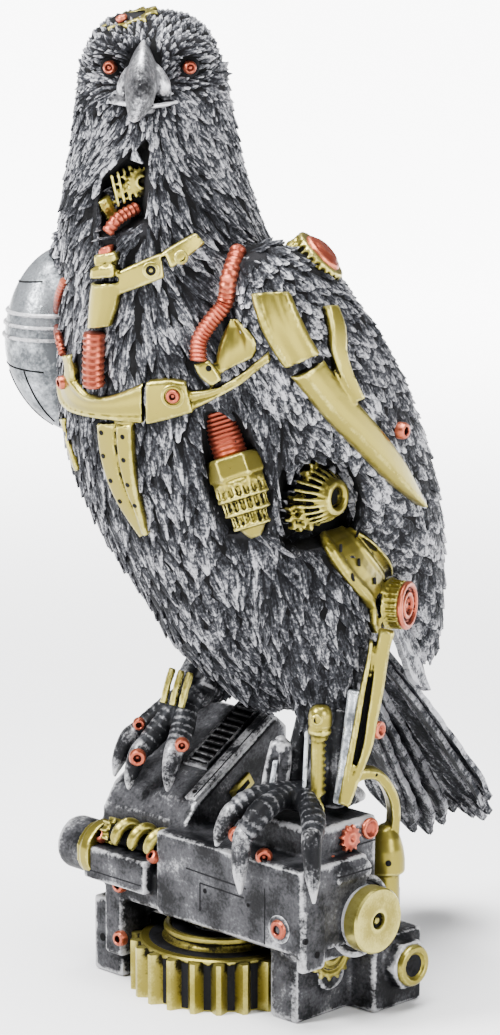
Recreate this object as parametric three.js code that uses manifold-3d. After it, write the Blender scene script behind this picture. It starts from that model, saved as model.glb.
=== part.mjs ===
// A perched mechanical eagle on a machine plinth, two cast pieces painted in silver, brass and copper.
// Millimetres, +Z up. The origin is the middle of the plinth's underside; the eagle's breast and the
// plinth's long front face -Y, and the eagle's left side is +X.

import * as THREE from "three";
import { mergeVertices } from "three/addons/utils/BufferGeometryUtils.js";
import Module from "manifold-3d";

const wasm = await Module();
wasm.setup();

// Driving dimensions
const FIGURE_HEIGHT = 298; // underside to the top of the crown gear
const PLINTH_LENGTH = 90; // engine deck, left to right
const PLINTH_DEPTH = 42; // engine deck, front to back
const DECK_TOP = 52;
const DECK_BOTTOM = 20;
const DECK_FRONT = -16;
const HEAD_TURN = THREE.MathUtils.degToRad(45); // the head looks to the eagle's left
const SEAT_GAP = 0.3; // between the feet and what they stand on

// The eagle's sizes were set at this height, and follow it.
const DESIGN_HEIGHT = 298;
const DESIGN_DECK_TOP = 52;
const birdShare = (FIGURE_HEIGHT - DECK_TOP) / (DESIGN_HEIGHT - DESIGN_DECK_TOP);
const birdX = (x) => x * birdShare;
const birdY = (y) => y * birdShare;
const birdZ = (z) => DECK_TOP + (z - DESIGN_DECK_TOP) * birdShare;
const bird = (x, y, z) => new THREE.Vector3(birdX(x), birdY(y), birdZ(z));
// A step from one place on the eagle to another, and an oval's radii.
const birdStep = (x, y, z) => new THREE.Vector3(x, y, z).multiplyScalar(birdShare);
// A turned profile and a gear's sizes, both of which follow the eagle.
const birdProfile = (profile) => profile.map((pair) => pair.map(birdX));
const birdGear = ({ teeth, ...lengths }) => ({
  teeth,
  ...Object.fromEntries(Object.entries(lengths).map(([name, size]) => [name, birdX(size)])),
});

// Solids: three.js makes each shape, and manifold joins and cuts them.

function signedVolume(position, index) {
  const [a, b, c] = [new THREE.Vector3(), new THREE.Vector3(), new THREE.Vector3()];
  let sum = 0;
  for (let i = 0; i < index.length; i += 3) {
    a.fromArray(position, 3 * index[i]);
    b.fromArray(position, 3 * index[i + 1]);
    c.fromArray(position, 3 * index[i + 2]);
    sum += a.dot(b.cross(c)) / 6;
  }
  return sum;
}

function solid(geometry) {
  const bare = geometry.index ? geometry.toNonIndexed() : geometry.clone();
  bare.deleteAttribute("normal");
  bare.deleteAttribute("uv");
  const merged = mergeVertices(bare, 1e-4);
  const vertProperties = merged.attributes.position.array;
  const triVerts = new Uint32Array(merged.index.array);
  if (signedVolume(vertProperties, triVerts) < 0) {
    for (let i = 0; i < triVerts.length; i += 3) {
      [triVerts[i + 1], triVerts[i + 2]] = [triVerts[i + 2], triVerts[i + 1]];
    }
  }
  return new wasm.Manifold(new wasm.Mesh({ numProp: 3, vertProperties, triVerts }));
}

const join = (solids) => solids.reduce((all, next) => all.add(next));
const cut = (body, solids) => solids.reduce((left, next) => left.subtract(next), body);

// The largest closed shell of a mesh, so that a pocket shut in between two joined shapes is filled.
function outerShell({ vertProperties, triVerts }) {
  const parent = Array.from({ length: vertProperties.length / 3 }, (_, i) => i);
  const rootOf = (i) => {
    while (parent[i] !== i) i = parent[i] = parent[parent[i]];
    return i;
  };
  for (let i = 0; i < triVerts.length; i += 3) {
    parent[rootOf(triVerts[i])] = rootOf(triVerts[i + 1]);
    parent[rootOf(triVerts[i + 1])] = rootOf(triVerts[i + 2]);
  }
  const shells = new Map();
  for (let i = 0; i < triVerts.length; i += 3) {
    const root = rootOf(triVerts[i]);
    if (!shells.has(root)) shells.set(root, []);
    shells.get(root).push(triVerts[i], triVerts[i + 1], triVerts[i + 2]);
  }
  const size = (shell) => signedVolume(vertProperties, shell);
  return [...shells.values()].reduce((best, next) => (size(next) > size(best) ? next : best));
}

function geometryOf(manifold) {
  const mesh = manifold.getMesh();
  const geometry = new THREE.BufferGeometry();
  geometry.setAttribute("position", new THREE.BufferAttribute(mesh.vertProperties, 3));
  geometry.setIndex(outerShell(mesh));
  return geometry;
}

// Places

const xAxis = new THREE.Vector3(1, 0, 0);
const yAxis = new THREE.Vector3(0, 1, 0);
const zAxis = new THREE.Vector3(0, 0, 1);

// A matrix whose local Z points along the axis, at a place.
function along(axis, place) {
  const turn = new THREE.Quaternion().setFromUnitVectors(zAxis, axis.clone().normalize());
  return new THREE.Matrix4().compose(place, turn, new THREE.Vector3(1, 1, 1));
}

// A box from its lowest to its highest corner.
function box(low, high) {
  const size = high.map((top, i) => top - low[i]);
  const middle = high.map((top, i) => (top + low[i]) / 2);
  return solid(new THREE.BoxGeometry(...size).translate(...middle));
}

function rod(start, end, radius, sides = 12, endRadius = radius) {
  const axis = end.clone().sub(start);
  const shape = new THREE.CylinderGeometry(endRadius, radius, axis.length(), sides);
  shape.rotateX(Math.PI / 2).translate(0, 0, axis.length() / 2);
  return solid(shape.applyMatrix4(along(axis, start)));
}

function ball(centre, radii, widthSegments = 14, heightSegments = 9) {
  const shape = new THREE.SphereGeometry(1, widthSegments, heightSegments);
  return solid(shape.scale(radii.x, radii.y, radii.z).translate(centre.x, centre.y, centre.z));
}

// A turned part: (radius, height) pairs from its foot to its top, along an axis.
function turned(profile, axis, place, sides = 16) {
  const points = [[0, profile[0][1]], ...profile, [0, profile.at(-1)[1]]];
  const shape = new THREE.LatheGeometry(
    points.map(([radius, height]) => new THREE.Vector2(radius, height)),
    sides,
  );
  return solid(shape.rotateX(Math.PI / 2).applyMatrix4(along(axis, place)));
}

// A spur gear with flat-topped teeth, and a hole through it where holeRadius is given.
function gear({ teeth, radius, toothDepth, thickness, holeRadius = 0 }, axis, place) {
  const outline = new THREE.Shape();
  const pitch = (2 * Math.PI) / teeth;
  for (let tooth = 0; tooth < teeth; tooth++) {
    const corners = [
      [0.0, radius - toothDepth],
      [0.22, radius],
      [0.55, radius],
      [0.77, radius - toothDepth],
    ];
    corners.forEach(([share, reach], corner) => {
      const angle = (tooth + share) * pitch;
      const point = [reach * Math.cos(angle), reach * Math.sin(angle)];
      if (tooth + corner === 0) outline.moveTo(...point);
      else outline.lineTo(...point);
    });
  }
  outline.closePath();
  if (holeRadius) {
    const hole = new THREE.Path();
    hole.absarc(0, 0, holeRadius, 0, 2 * Math.PI, true);
    outline.holes.push(hole);
  }
  const settings = { depth: thickness, bevelEnabled: false, curveSegments: 3 };
  return solid(new THREE.ExtrudeGeometry(outline, settings).applyMatrix4(along(axis, place)));
}

// A rivet's domed head, standing on a surface.
function rivet(place, axis, radius) {
  const profile = [[radius, -1], [radius, 0.5 * radius], [0.55 * radius, 0.95 * radius]];
  return turned(profile, axis, place, 6);
}

// A closed skin over rings of the same number of points, with a pole at each end.
function skin(rings) {
  const count = rings[0].length;
  const positions = rings.flat().flatMap((p) => p.toArray());
  const poles = [rings[0], rings.at(-1)].map((ring) =>
    ring.reduce((sum, p) => sum.add(p), new THREE.Vector3()).divideScalar(count),
  );
  poles.forEach((p) => positions.push(...p.toArray()));
  const [firstPole, lastPole] = [rings.length * count, rings.length * count + 1];
  const faces = [];
  for (let i = 0; i < count; i++) {
    const next = (i + 1) % count;
    faces.push(firstPole, next, i);
    for (let r = 0; r < rings.length - 1; r++) {
      const [here, below] = [r * count, (r + 1) * count];
      faces.push(here + i, here + next, below + next, here + i, below + next, below + i);
    }
    const last = (rings.length - 1) * count;
    faces.push(lastPole, last + i, last + next);
  }
  const geometry = new THREE.BufferGeometry();
  geometry.setAttribute("position", new THREE.Float32BufferAttribute(positions, 3));
  geometry.setIndex(faces);
  return solid(geometry);
}

// A limb: an oval section carried along a path. Each station is [place, half width, half depth];
// the width lies along the vector across.
function limb(stations, across) {
  const path = new THREE.CatmullRomCurve3(stations.map(([place]) => place));
  const sizes = new THREE.CatmullRomCurve3(
    stations.map(([, wide, deep]) => new THREE.Vector3(wide, deep, 0)),
  );
  return (share, angle, lift = 0) => {
    const t = THREE.MathUtils.clamp(share, 0, 1);
    const size = sizes.getPoint(t);
    const tangent = path.getTangent(t);
    const width = across.clone().addScaledVector(tangent, -across.dot(tangent)).normalize();
    const depth = tangent.clone().cross(width);
    return path
      .getPoint(t)
      .addScaledVector(width, (Math.max(size.x, 0.1) + lift) * Math.cos(angle))
      .addScaledVector(depth, (Math.max(size.y, 0.1) + lift) * Math.sin(angle));
  };
}

function smoothLimb(stations, across, rings = 8, sides = 10) {
  const surface = limb(stations, across);
  return skin(
    Array.from({ length: rings + 1 }, (_, r) =>
      Array.from({ length: sides }, (_, i) => surface(r / rings, (2 * Math.PI * i) / sides)),
    ),
  );
}

// A limb clad in rows of pointed feathers, like shingles. Each row starts under the zigzag of the
// row before it and rises to its own tips, half a feather round; bareRows stay smooth.
function featheredLimb(stations, across, { rows, columns, lift, bareRows = 0 }) {
  const surface = limb(stations, across);
  const points = 2 * columns;
  const reach = 0.3 / rows;
  const zigzag = (row, raised) =>
    Array.from({ length: points }, (_, i) => {
      const tip = (i + row) % 2 === 0;
      const isBare = row <= bareRows;
      const slide = isBare ? 0 : tip ? reach : -reach;
      const rise = raised && !isBare ? (tip ? lift : 0.35 * lift) : 0;
      return surface((row / rows) * 0.98 + slide, (2 * Math.PI * i) / points, rise);
    });
  const rings = [zigzag(0, false)];
  for (let row = 1; row <= rows; row++) {
    rings.push(zigzag(row, true));
    if (row > bareRows && row < rows) rings.push(zigzag(row, false));
  }
  return skin(rings);
}

// A long flight feather: a leaf-shaped blade from its root to its tip, lying flat to a face.
function blade(root, tip, face, halfWidth, thickness) {
  const length = root.distanceTo(tip);
  const outline = new THREE.Shape();
  outline.moveTo(-0.6 * halfWidth, 0);
  outline.lineTo(-halfWidth, 0.86 * length);
  outline.lineTo(-0.35 * halfWidth, length);
  outline.lineTo(0.5 * halfWidth, 0.98 * length);
  outline.lineTo(halfWidth, 0.84 * length);
  outline.lineTo(0.6 * halfWidth, 0);
  outline.closePath();
  const settings = { depth: thickness, bevelEnabled: false };
  const shape = new THREE.ExtrudeGeometry(outline, settings).translate(0, 0, -thickness / 2);
  const long = tip.clone().sub(root).normalize();
  const out = face.clone().addScaledVector(long, -face.dot(long)).normalize();
  const side = long.clone().cross(out);
  const frame = new THREE.Matrix4().makeBasis(side, long, out).setPosition(root);
  return solid(shape.applyMatrix4(frame));
}

// A strap: a rectangular bar bent along a path, its broad face turned towards out.
function strap(points, out, width, thickness, steps = 8) {
  const path = new THREE.CatmullRomCurve3(points);
  const rings = Array.from({ length: steps + 1 }, (_, step) => {
    const t = step / steps;
    const tangent = path.getTangent(t);
    const normal = out(t).addScaledVector(tangent, -out(t).dot(tangent)).normalize();
    const side = tangent.clone().cross(normal);
    const half = (typeof width === "function" ? width(t) : width) / 2;
    return [[1, 1], [-1, 1], [-1, -1], [1, -1]].map(([across, up]) =>
      path
        .getPoint(t)
        .addScaledVector(side, across * half)
        .addScaledVector(normal, (up * thickness) / 2),
    );
  });
  return skin(rings);
}

// A ribbed hose: rings of a full radius between rings of a smaller one, along a path.
function hose(points, radius, ribs, sides = 8) {
  const path = new THREE.CatmullRomCurve3(points);
  const steps = 2 * ribs;
  const rings = Array.from({ length: steps + 1 }, (_, step) => {
    const t = step / steps;
    const tangent = path.getTangent(t);
    const side = new THREE.Vector3().crossVectors(tangent, yAxis).normalize();
    const other = tangent.clone().cross(side);
    const reach = step % 2 ? radius : 0.8 * radius;
    return Array.from({ length: sides }, (_, i) => {
      const angle = (2 * Math.PI * i) / sides;
      return path
        .getPoint(t)
        .addScaledVector(side, reach * Math.cos(angle))
        .addScaledVector(other, reach * Math.sin(angle));
    });
  });
  return skin(rings);
}

// The eagle's stations: [place, half width, half depth]. They are drawn for the left side (1), and
// sideOf mirrors them for the right (-1).
const sideOf = (stations, side) =>
  stations.map(([place, wide, deep]) => [
    new THREE.Vector3(side * place.x, place.y, place.z),
    wide,
    deep,
  ]);

const station = (x, y, z, wide, deep) => [bird(x, y, z), birdX(wide), birdX(deep)];

const TRUNK = [
  station(1, -40, 296, 8.5, 8.5),
  station(1, -40, 291, 16, 16),
  station(1, -40, 280, 20.5, 20.5),
  station(1, -39, 262, 22.5, 22.5),
  station(0.5, -36.5, 240, 25.5, 27),
  station(0, -32, 218, 32, 30),
  station(0, -28, 196, 39, 32),
  station(-1.5, -23, 174, 41, 32),
  station(-2, -16, 152, 37, 29),
  station(0, -7, 130, 29, 25),
  station(1, 3, 110, 22, 20),
  station(2, 10, 95, 15, 14),
  station(2, 13, 87, 7, 7),
];

const BACK = [
  station(0, -28, 234, 20, 9),
  station(0, -18, 218, 34, 15),
  station(0, -5, 195, 38, 21),
  station(0, 7, 170, 37, 22),
  station(0, 18, 145, 31, 19),
  station(0, 28, 120, 23, 13),
  station(0, 36, 100, 12, 7),
];

const WING = [
  station(32, -34, 230, 8, 7),
  station(39, -26, 216, 12, 17),
  station(43, -9, 192, 12.5, 20),
  station(42, 11, 165, 10.5, 18),
  station(36, 30, 140, 8, 13.5),
  station(28, 44, 116, 6, 9),
  station(23, 53, 97, 3, 4),
];

const THIGH = [
  station(25, -8, 150, 13, 17),
  station(28, -3, 132, 15, 21),
  station(29, 3, 112, 14, 19),
  station(29, 4, 95, 10, 13),
  station(28, 3, 82, 6, 7),
];
// The right thigh is drawn in under the belly, its foot a step higher on the ramp.
const RIGHT_THIGH_SHIFT = birdStep(7, 10, 3);

function tailFeathers() {
  const feathers = 7;
  const root = bird(0, 34, 112);
  const face = new THREE.Vector3(0, 0.74, 0.67);
  return Array.from({ length: feathers }, (_, i) => {
    const spread = i - (feathers - 1) / 2;
    const middle = 1 - (Math.abs(spread) / feathers) ** 2;
    const start = root.clone().add(birdStep(2.4 * spread, 0, 0));
    const layer = face.clone().multiplyScalar(-1.1 * Math.abs(spread));
    const tip = bird(6.4 * spread, 36 + 66 * middle, 112 - 82 * middle).add(layer);
    return blade(start.add(layer), tip, face, birdX(5.6), birdX(3.4));
  });
}

function wingFeathers(side) {
  const feathers = 6;
  return Array.from({ length: feathers }, (_, i) => {
    const share = i / (feathers - 1);
    const root = bird(side * (42 - 5 * share), -6 + 16 * share, 172 - 26 * share);
    const tip = bird(side * (34 - 12 * share), 29 + 25 * share, 142 - 56 * share);
    const face = new THREE.Vector3(side, 0.28, 0.12);
    return blade(root, tip, face, birdX(6.5), birdX(3.2));
  });
}

function wing(side) {
  const cladding = { rows: 6, columns: 5, lift: birdX(2) };
  return join([featheredLimb(sideOf(WING, side), xAxis, cladding), ...wingFeathers(side)]);
}

// The head's own parts are set out as if it looked along -Y, then turned with it.
const headAxis = bird(1, -40, 52);
const turnHead = new THREE.Matrix4()
  .makeTranslation(headAxis.x, headAxis.y, 0)
  .multiply(new THREE.Matrix4().makeRotationZ(HEAD_TURN));
const onHead = (x, y, z) =>
  new THREE.Vector3(birdX(x), birdY(y), birdZ(z)).applyMatrix4(turnHead);
const headAcross = new THREE.Vector3(Math.cos(HEAD_TURN), Math.sin(HEAD_TURN), 0);
const headAhead = new THREE.Vector3(Math.sin(HEAD_TURN), -Math.cos(HEAD_TURN), 0);

function beak() {
  const at = (y, z, wide, deep) => [onHead(0, y, z), birdX(wide), birdX(deep)];
  const upper = [
    at(-12, 279, 9, 8),
    at(-21, 280, 7.5, 7),
    at(-28, 277, 5.5, 5.5),
    at(-32, 272, 3.2, 3.4),
    at(-31.2, 267, 1, 1.2),
  ];
  const lower = [at(-12, 270, 8, 4), at(-20, 270, 6, 3), at(-26, 270, 2.5, 1.5)];
  return [smoothLimb(upper, headAcross, 7, 8), smoothLimb(lower, headAcross, 3, 6)];
}

function brow(side) {
  const stations = [
    [onHead(side * 4, -19, 286), birdX(2), birdX(2)],
    [onHead(side * 11, -19.5, 287), birdX(3.6), birdX(3)],
    [onHead(side * 16, -13, 285), birdX(2.8), birdX(2.8)],
    [onHead(side * 17.5, -7, 281), birdX(1.2), birdX(1.2)],
  ];
  return smoothLimb(stations, zAxis, 4, 6);
}

function eye(side) {
  return ball(onHead(side * 11.2, -17, 280.5), birdStep(3.2, 3.2, 3.2), 6, 4);
}

function crownGear() {
  const tilt = new THREE.Vector3(-0.3, -0.05, 1);
  const size = birdGear({ teeth: 9, radius: 9.5, toothDepth: 2, thickness: 3 });
  return gear(size, tilt, onHead(-5, -2, 292.4));
}

// Brass and copper fittings on the breast, neck and wings.

// The breast surface at a height: a point of the trunk's oval, at an angle round from the front
// towards the eagle's left, standing out by a clearance.
const trunkSurface = limb(TRUNK, xAxis);
function onBreast(height, degrees, out = 0) {
  let [low, high] = [0, 1];
  for (let step = 0; step < 24; step++) {
    const middle = (low + high) / 2;
    if (trunkSurface(middle, 0).z > birdZ(height)) low = middle;
    else high = middle;
  }
  const angle = THREE.MathUtils.degToRad(degrees - 90);
  const front = trunkSurface(low, angle, out);
  const back = trunkSurface(low, -angle, out);
  return front.y < back.y ? front : back;
}
const outwards = (degrees) => {
  const angle = THREE.MathUtils.degToRad(degrees);
  return new THREE.Vector3(Math.sin(angle), -Math.cos(angle), 0);
};

const COLLAR_HEIGHT = 191;
function collar() {
  const reach = 88;
  const steps = 10;
  const points = Array.from({ length: steps + 1 }, (_, i) => {
    const degrees = reach * ((2 * i) / steps - 1);
    const rise = 18 * (Math.abs(degrees) / reach) ** 2;
    return onBreast(COLLAR_HEIGHT + rise, degrees, birdX(1.4));
  });
  return strap(
    points,
    (t) => outwards(reach * (2 * t - 1)),
    (t) => birdX(11 + 7 * Math.abs(2 * t - 1) ** 2),
    birdX(4.4),
    8,
  );
}

function keelStrap() {
  const points = [187, 173, 160, 148].map((height, i) => onBreast(height, 2 * i, birdX(0.9)));
  return strap(points, () => new THREE.Vector3(0, -1, 0), (t) => birdX(11 - 4 * t), birdX(4.5), 6);
}

function breastPipe() {
  const top = onBreast(232, 8, birdX(1));
  const middle = onBreast(208, 2, birdX(2));
  const bottom = onBreast(193, 0, birdX(2.5));
  return [rod(top, middle, birdX(4), 10), hose([middle, bottom], birdX(4.4), 3, 6)];
}

function neckBracket() {
  const points = [
    onBreast(224, 6, birdX(1.4)),
    onBreast(226, 26, birdX(1.4)),
    onBreast(231, 50, birdX(1.4)),
    onBreast(234, 64, birdX(1)),
  ];
  return strap(points, (t) => outwards(6 + 58 * t), birdX(10), birdX(4.5), 6);
}

function breastHose(side) {
  const route = [[232, 60], [221, 57], [208, 43], [197, 40]];
  const points = route.map(([height, degrees]) =>
    onBreast(height, side * degrees, birdX(1.2)),
  );
  return hose(points, birdX(3.3), 5, 5);
}

// The throat's open hatch, with a pinion and a worm inside.
const THROAT = { height: 250, degrees: 22, radius: 8.5, depth: 8, slant: 13 };
function throatHatch() {
  const place = onBreast(THROAT.height, THROAT.degrees, birdX(3));
  const axis = outwards(THROAT.degrees);
  const low = place.clone().addScaledVector(axis, -birdX(THROAT.depth));
  return [-1, 1].map((way) => {
    const offset = birdStep(0.25 * way * THROAT.slant, 0, 0.5 * way * THROAT.slant);
    return rod(low.clone().add(offset), place.clone().add(offset), birdX(THROAT.radius), 9);
  });
}
function throatWorks() {
  const axis = outwards(THROAT.degrees);
  const place = onBreast(THROAT.height, THROAT.degrees, -birdX(THROAT.depth));
  const pinion = birdGear({ teeth: 8, radius: 6.5, toothDepth: 1.6, thickness: 7 });
  const worm = [onBreast(237, 27, birdX(0.5)), onBreast(243, 13, birdX(0.5))];
  return [gear(pinion, axis, place), hose(worm, birdX(3.2), 3, 6)];
}

// The coil, nut and stepped cone let into the breast's left side.
function breastCoil() {
  const top = onBreast(186, 53, birdX(0.5));
  const foot = onBreast(148, 59, birdX(0.5));
  const axis = foot.clone().sub(top).normalize();
  const stretch = top.distanceTo(foot);
  const profile = [
    [4.8, 0], [5.6, 0.1], [4.8, 0.17], [5.6, 0.25], [4.8, 0.33], [8.4, 0.35], [8.4, 0.52],
    [7, 0.54], [7, 0.65], [5.8, 0.67], [5.8, 0.8], [3.4, 1],
  ];
  return turned(
    profile.map(([radius, share]) => [birdX(radius), share * stretch]),
    axis,
    top,
    7,
  );
}

// The gear window in the flank, and its two gears.
const FLANK = bird(38, -15, 158);
function flankWindow() {
  const reach = birdStep(16, 17, 12);
  return box(
    [FLANK.x - 0.45 * reach.x, FLANK.y - reach.y, FLANK.z - reach.z],
    [FLANK.x + reach.x, FLANK.y + reach.y, FLANK.z + reach.z],
  );
}
function flankGears() {
  const front = birdGear({ teeth: 11, radius: 9, toothDepth: 2, thickness: 9, holeRadius: 3 });
  const rear = birdGear({ teeth: 8, radius: 8, toothDepth: 2, thickness: 11 });
  const base = FLANK.x - birdX(8);
  return [
    gear(front, xAxis, new THREE.Vector3(base, FLANK.y + birdY(5), FLANK.z + birdX(1))),
    gear(rear, xAxis, new THREE.Vector3(base - birdX(1), FLANK.y - birdY(8), FLANK.z - birdX(3))),
  ];
}

// The wing's brass leading strut, with its thinner branch.
function wingStrut(side) {
  const main = [
    bird(side * 47, -39, 222),
    bird(side * 53, -32, 203),
    bird(side * 55, -11, 180),
    bird(side * 48, 22, 153),
  ];
  const branch = [
    bird(side * 47, -21, 222),
    bird(side * 54, -20, 212),
    bird(side * 57, -17, 201),
    bird(side * 56, -14, 190),
  ];
  const face = () => new THREE.Vector3(side, -0.35, 0.3);
  return [
    strap(main, face, (t) => birdX(3 + 9 * Math.sin(Math.PI * (0.3 + 0.68 * t))), birdX(6), 8),
    strap(branch, face, birdX(4), birdX(5), 4),
  ];
}

function shoulderGear() {
  const axis = new THREE.Vector3(0.5, 0.34, 0.8).normalize();
  const foot = bird(36, -21, 225);
  const size = birdGear({ teeth: 9, radius: 10.5, toothDepth: 1.8, thickness: 6 });
  const cap = [[8.5, 5.5], [8.5, 9], [6.5, 10.5]];
  return [gear(size, axis, foot), turned(birdProfile(cap), axis, foot, 10)];
}

function shoulderDome() {
  return ball(bird(-44, -31, 200), birdStep(17, 22, 27), 12, 8);
}

// The thigh's plate and knob, and the leg's struts and pistons.
function thighPlate() {
  const points = [bird(43, -9, 143), bird(47, 2, 131), bird(47, 12, 119), bird(43, 14, 108)];
  const out = () => new THREE.Vector3(1, -0.4, 0.2);
  const plate = strap(points, out, (t) => birdX(15 - 8 * t * t), birdX(7), 6);
  const knob = [[7.6, -4], [7.6, 2.5], [5.4, 4], [2.4, 4]];
  return [plate, turned(birdProfile(knob), xAxis, bird(47, 16, 122), 10)];
}

function legStrut() {
  const points = [bird(46, 10, 112), bird(43, 1, 90), bird(37, -6, 69)];
  const out = () => new THREE.Vector3(1, -0.5, 0.1);
  return strap(points, out, (t) => birdX(9 - 4 * t), birdX(6), 5);
}

const LEFT_ANKLE = bird(28, -7, 67);
const RIGHT_ANKLE = bird(-21, -3, 88);

// Each shank is a thick piston beside a thin one, on a ball at the ankle.
function shank(hip, ankle) {
  const aside = birdStep(5, -3, 0);
  return [
    rod(hip.clone().add(aside), ankle.clone().add(aside), birdX(4.6), 6, birdX(4)),
    rod(hip.clone().sub(aside), ankle.clone().sub(aside), birdX(3.8), 6, birdX(2.8)),
    ball(ankle, birdStep(7, 6, 5), 7, 5),
  ];
}

// A foot: toes from the ankle over the perch's edge, each a path that ends in a hooked claw.
function toe(ankle, knuckle, bend, tip) {
  const stations = [
    [ankle, birdX(4.6), birdX(4.6)],
    [ankle.clone().lerp(knuckle, 0.6), birdX(4.2), birdX(4)],
    [knuckle, birdX(4.6), birdX(4.4)],
    [bend, birdX(3.6), birdX(3.4)],
    [tip, birdX(0.9), birdX(0.9)],
  ];
  return smoothLimb(stations, new THREE.Vector3(1, 0.3, 0.1), 4, 5);
}

const LEFT_TOES = [
  [[23, -24, 67], [21, -29, 64], [18, -32, 54]],
  [[31, -27, 66], [29, -32, 59], [29, -33, 42]],
  [[42, -19, 64], [47, -26, 60], [50, -29, 44]],
  [[31, 6, 64], [32, 11, 64], [33, 14, 61.5]],
];
const RIGHT_TOES = [
  [[-33, -9, 78], [-37, -15, 73], [-39.5, -19, 61]],
  [[-26, -13, 77], [-27.5, -20, 71], [-28.5, -23.5, 60]],
  [[-17, -12, 78], [-14.5, -18, 73], [-13.5, -21.5, 62]],
  [[-23, 8, 86], [-23, 13, 87], [-23, 17, 84]],
];

const foot = (ankle, toes) => toes.map((route) => toe(ankle, ...route.map((p) => bird(...p))));

// The plinth: an engine deck on a great flat gear, with its blocks, pipes and nuts.

const deckX = (share) => (share * PLINTH_LENGTH) / 90;
const deckY = (y) => DECK_FRONT + ((y + 16) * PLINTH_DEPTH) / 42;

const MAIN_GEAR = {
  x: deckX(-4.8),
  y: deckY(-6.9),
  size: { teeth: 22, radius: 28, toothDepth: 2.8, thickness: 17 },
  collarRadius: 18,
};

const BEAM = {
  low: [deckX(-30), deckY(-28), 26],
  high: [deckX(49), deckY(0), DECK_TOP],
};

// The sloping vented ramp, as its side profile drawn in (y, z) and carried along X.
const RAMP = { left: deckX(-42), right: deckX(-6), foot: -17, head: 17, base: 59, rise: 21 };
function ramp(grow = 0) {
  const outline = new THREE.Shape();
  const [foot, head] = [deckY(RAMP.foot), deckY(RAMP.head)];
  outline.moveTo(foot - 4 - grow, DECK_TOP + 1);
  outline.lineTo(foot - grow, RAMP.base + grow);
  outline.lineTo(head, RAMP.base + RAMP.rise + grow);
  outline.lineTo(head + 5 + grow, RAMP.base + RAMP.rise - 4);
  outline.lineTo(head + 5 + grow, DECK_TOP - 6);
  outline.lineTo(foot - 4 - grow, DECK_TOP - 6);
  outline.closePath();
  const settings = { depth: RAMP.right - RAMP.left + 2 * grow, bevelEnabled: false };
  const shape = new THREE.ExtrudeGeometry(outline, settings);
  const frame = new THREE.Matrix4().makeBasis(yAxis, zAxis, xAxis);
  return solid(shape.applyMatrix4(frame.setPosition(RAMP.left - grow, 0, 0)));
}

function rampSlots() {
  const slots = 7;
  const [foot, head] = [deckY(RAMP.foot), deckY(RAMP.head)];
  const slope = new THREE.Vector3(0, head - foot, RAMP.rise);
  const out = new THREE.Vector3(0, -RAMP.rise, head - foot).normalize();
  return Array.from({ length: slots }, (_, i) => {
    const share = 0.3 + (0.6 * i) / (slots - 1);
    const centre = new THREE.Vector3(RAMP.right - 7, foot, RAMP.base)
      .addScaledVector(slope, share);
    const frame = new THREE.Matrix4()
      .makeBasis(xAxis, slope.clone().normalize(), out)
      .setPosition(centre);
    return solid(new THREE.BoxGeometry(8, 1.6, 3).applyMatrix4(frame));
  });
}

// The block under the left foot, which carries the copper gear on its right-hand face.
const PERCH = {
  low: [deckX(6), deckY(-17), DECK_TOP - 8],
  high: [deckX(44), deckY(9), DECK_TOP + 9],
};

const grown = ({ low, high }, by) =>
  box(
    low.map((v) => v - by),
    high.map((v) => v + by),
  );

// The deck's blocks, from their lowest to their highest corners.
const BLOCKS = {
  deck: [[-44, -16, DECK_BOTTOM], [32, 25, DECK_TOP - 3]],
  endBlock: [[30, -18, DECK_BOTTOM], [44, 9, DECK_TOP - 3]],
  leftFoot: [[-44, -24, 0], [-31, 20, 24]],
  rivetedPost: [[-36, -27, 8], [-28, -14, 40]],
  rearFoot: [[-36, 6, 0], [34, 25, DECK_BOTTOM + 2]],
  nutBlock: [[31, 6, 0], [46, 27, 23]],
  webFoot: [[25, -17, 0], [36, 8, 27]],
  wormRest: [[-44, -27, 40], [-30, -14, DECK_TOP]],
};

function plinthBlocks() {
  const corner = ([x, y, z]) => [deckX(x), deckY(y), z];
  const blocks = Object.values(BLOCKS).map(([low, high]) => box(corner(low), corner(high)));
  return [...blocks, grown(BEAM, 0), grown(PERCH, 0)];
}

function plinthMachinery() {
  const side = (x, y, z) => new THREE.Vector3(deckX(x), deckY(y), z);
  const nut = [[8, 0], [8, 6.5], [6, 6.7], [6, 9]];
  const ringed = [[11.5, 0], [11.5, 3], [10, 3.5], [10, 13], [9.2, 14]];
  const pipe = [[4.5, 0], [4.5, 14], [5.4, 14.2], [5.4, 25], [4.2, 30], [1.6, 33]];
  const worm = [[5, 0]];
  for (let turn = 0; turn < 3; turn++) {
    const start = 2 + 6.5 * turn;
    worm.push([5, start], [7.6, start + 1.6], [7.6, start + 3], [5, start + 4.6]);
  }
  const arch = Array.from({ length: 6 }, (_, i) => {
    const angle = (Math.PI / 2) * (1 - i / 5);
    return side(37, 6 + 15 * Math.cos(angle), 50 + 22 * Math.sin(angle));
  });
  return [
    gear(MAIN_GEAR.size, zAxis, new THREE.Vector3(MAIN_GEAR.x, MAIN_GEAR.y, 0)),
    turned(
      [[23, 16], [23, 19], [MAIN_GEAR.collarRadius, 19.2], [MAIN_GEAR.collarRadius, 27]],
      zAxis,
      new THREE.Vector3(MAIN_GEAR.x, MAIN_GEAR.y, 0),
      18,
    ),
    rod(side(-40, -22, 38.5), side(-55, -22, 38.5), 8.2, 14),
    turned(worm, xAxis, side(-33, -23, 47), 8),
    turned(ringed, xAxis, side(42, -2, 33), 16),
    turned(nut, xAxis, side(44, 17, 14), 6),
    turned(pipe, zAxis, side(38, 20, 20), 10),
    strap(arch, () => xAxis.clone(), 5, 4.5, 6),
    gear(
      { teeth: 8, radius: 5.5, toothDepth: 1.3, thickness: 3 },
      xAxis,
      side(43, -3, DECK_TOP + 4),
    ),
    rod(side(34, -4, 14), side(38.5, -4, 14), 6, 10),
  ];
}

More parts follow.
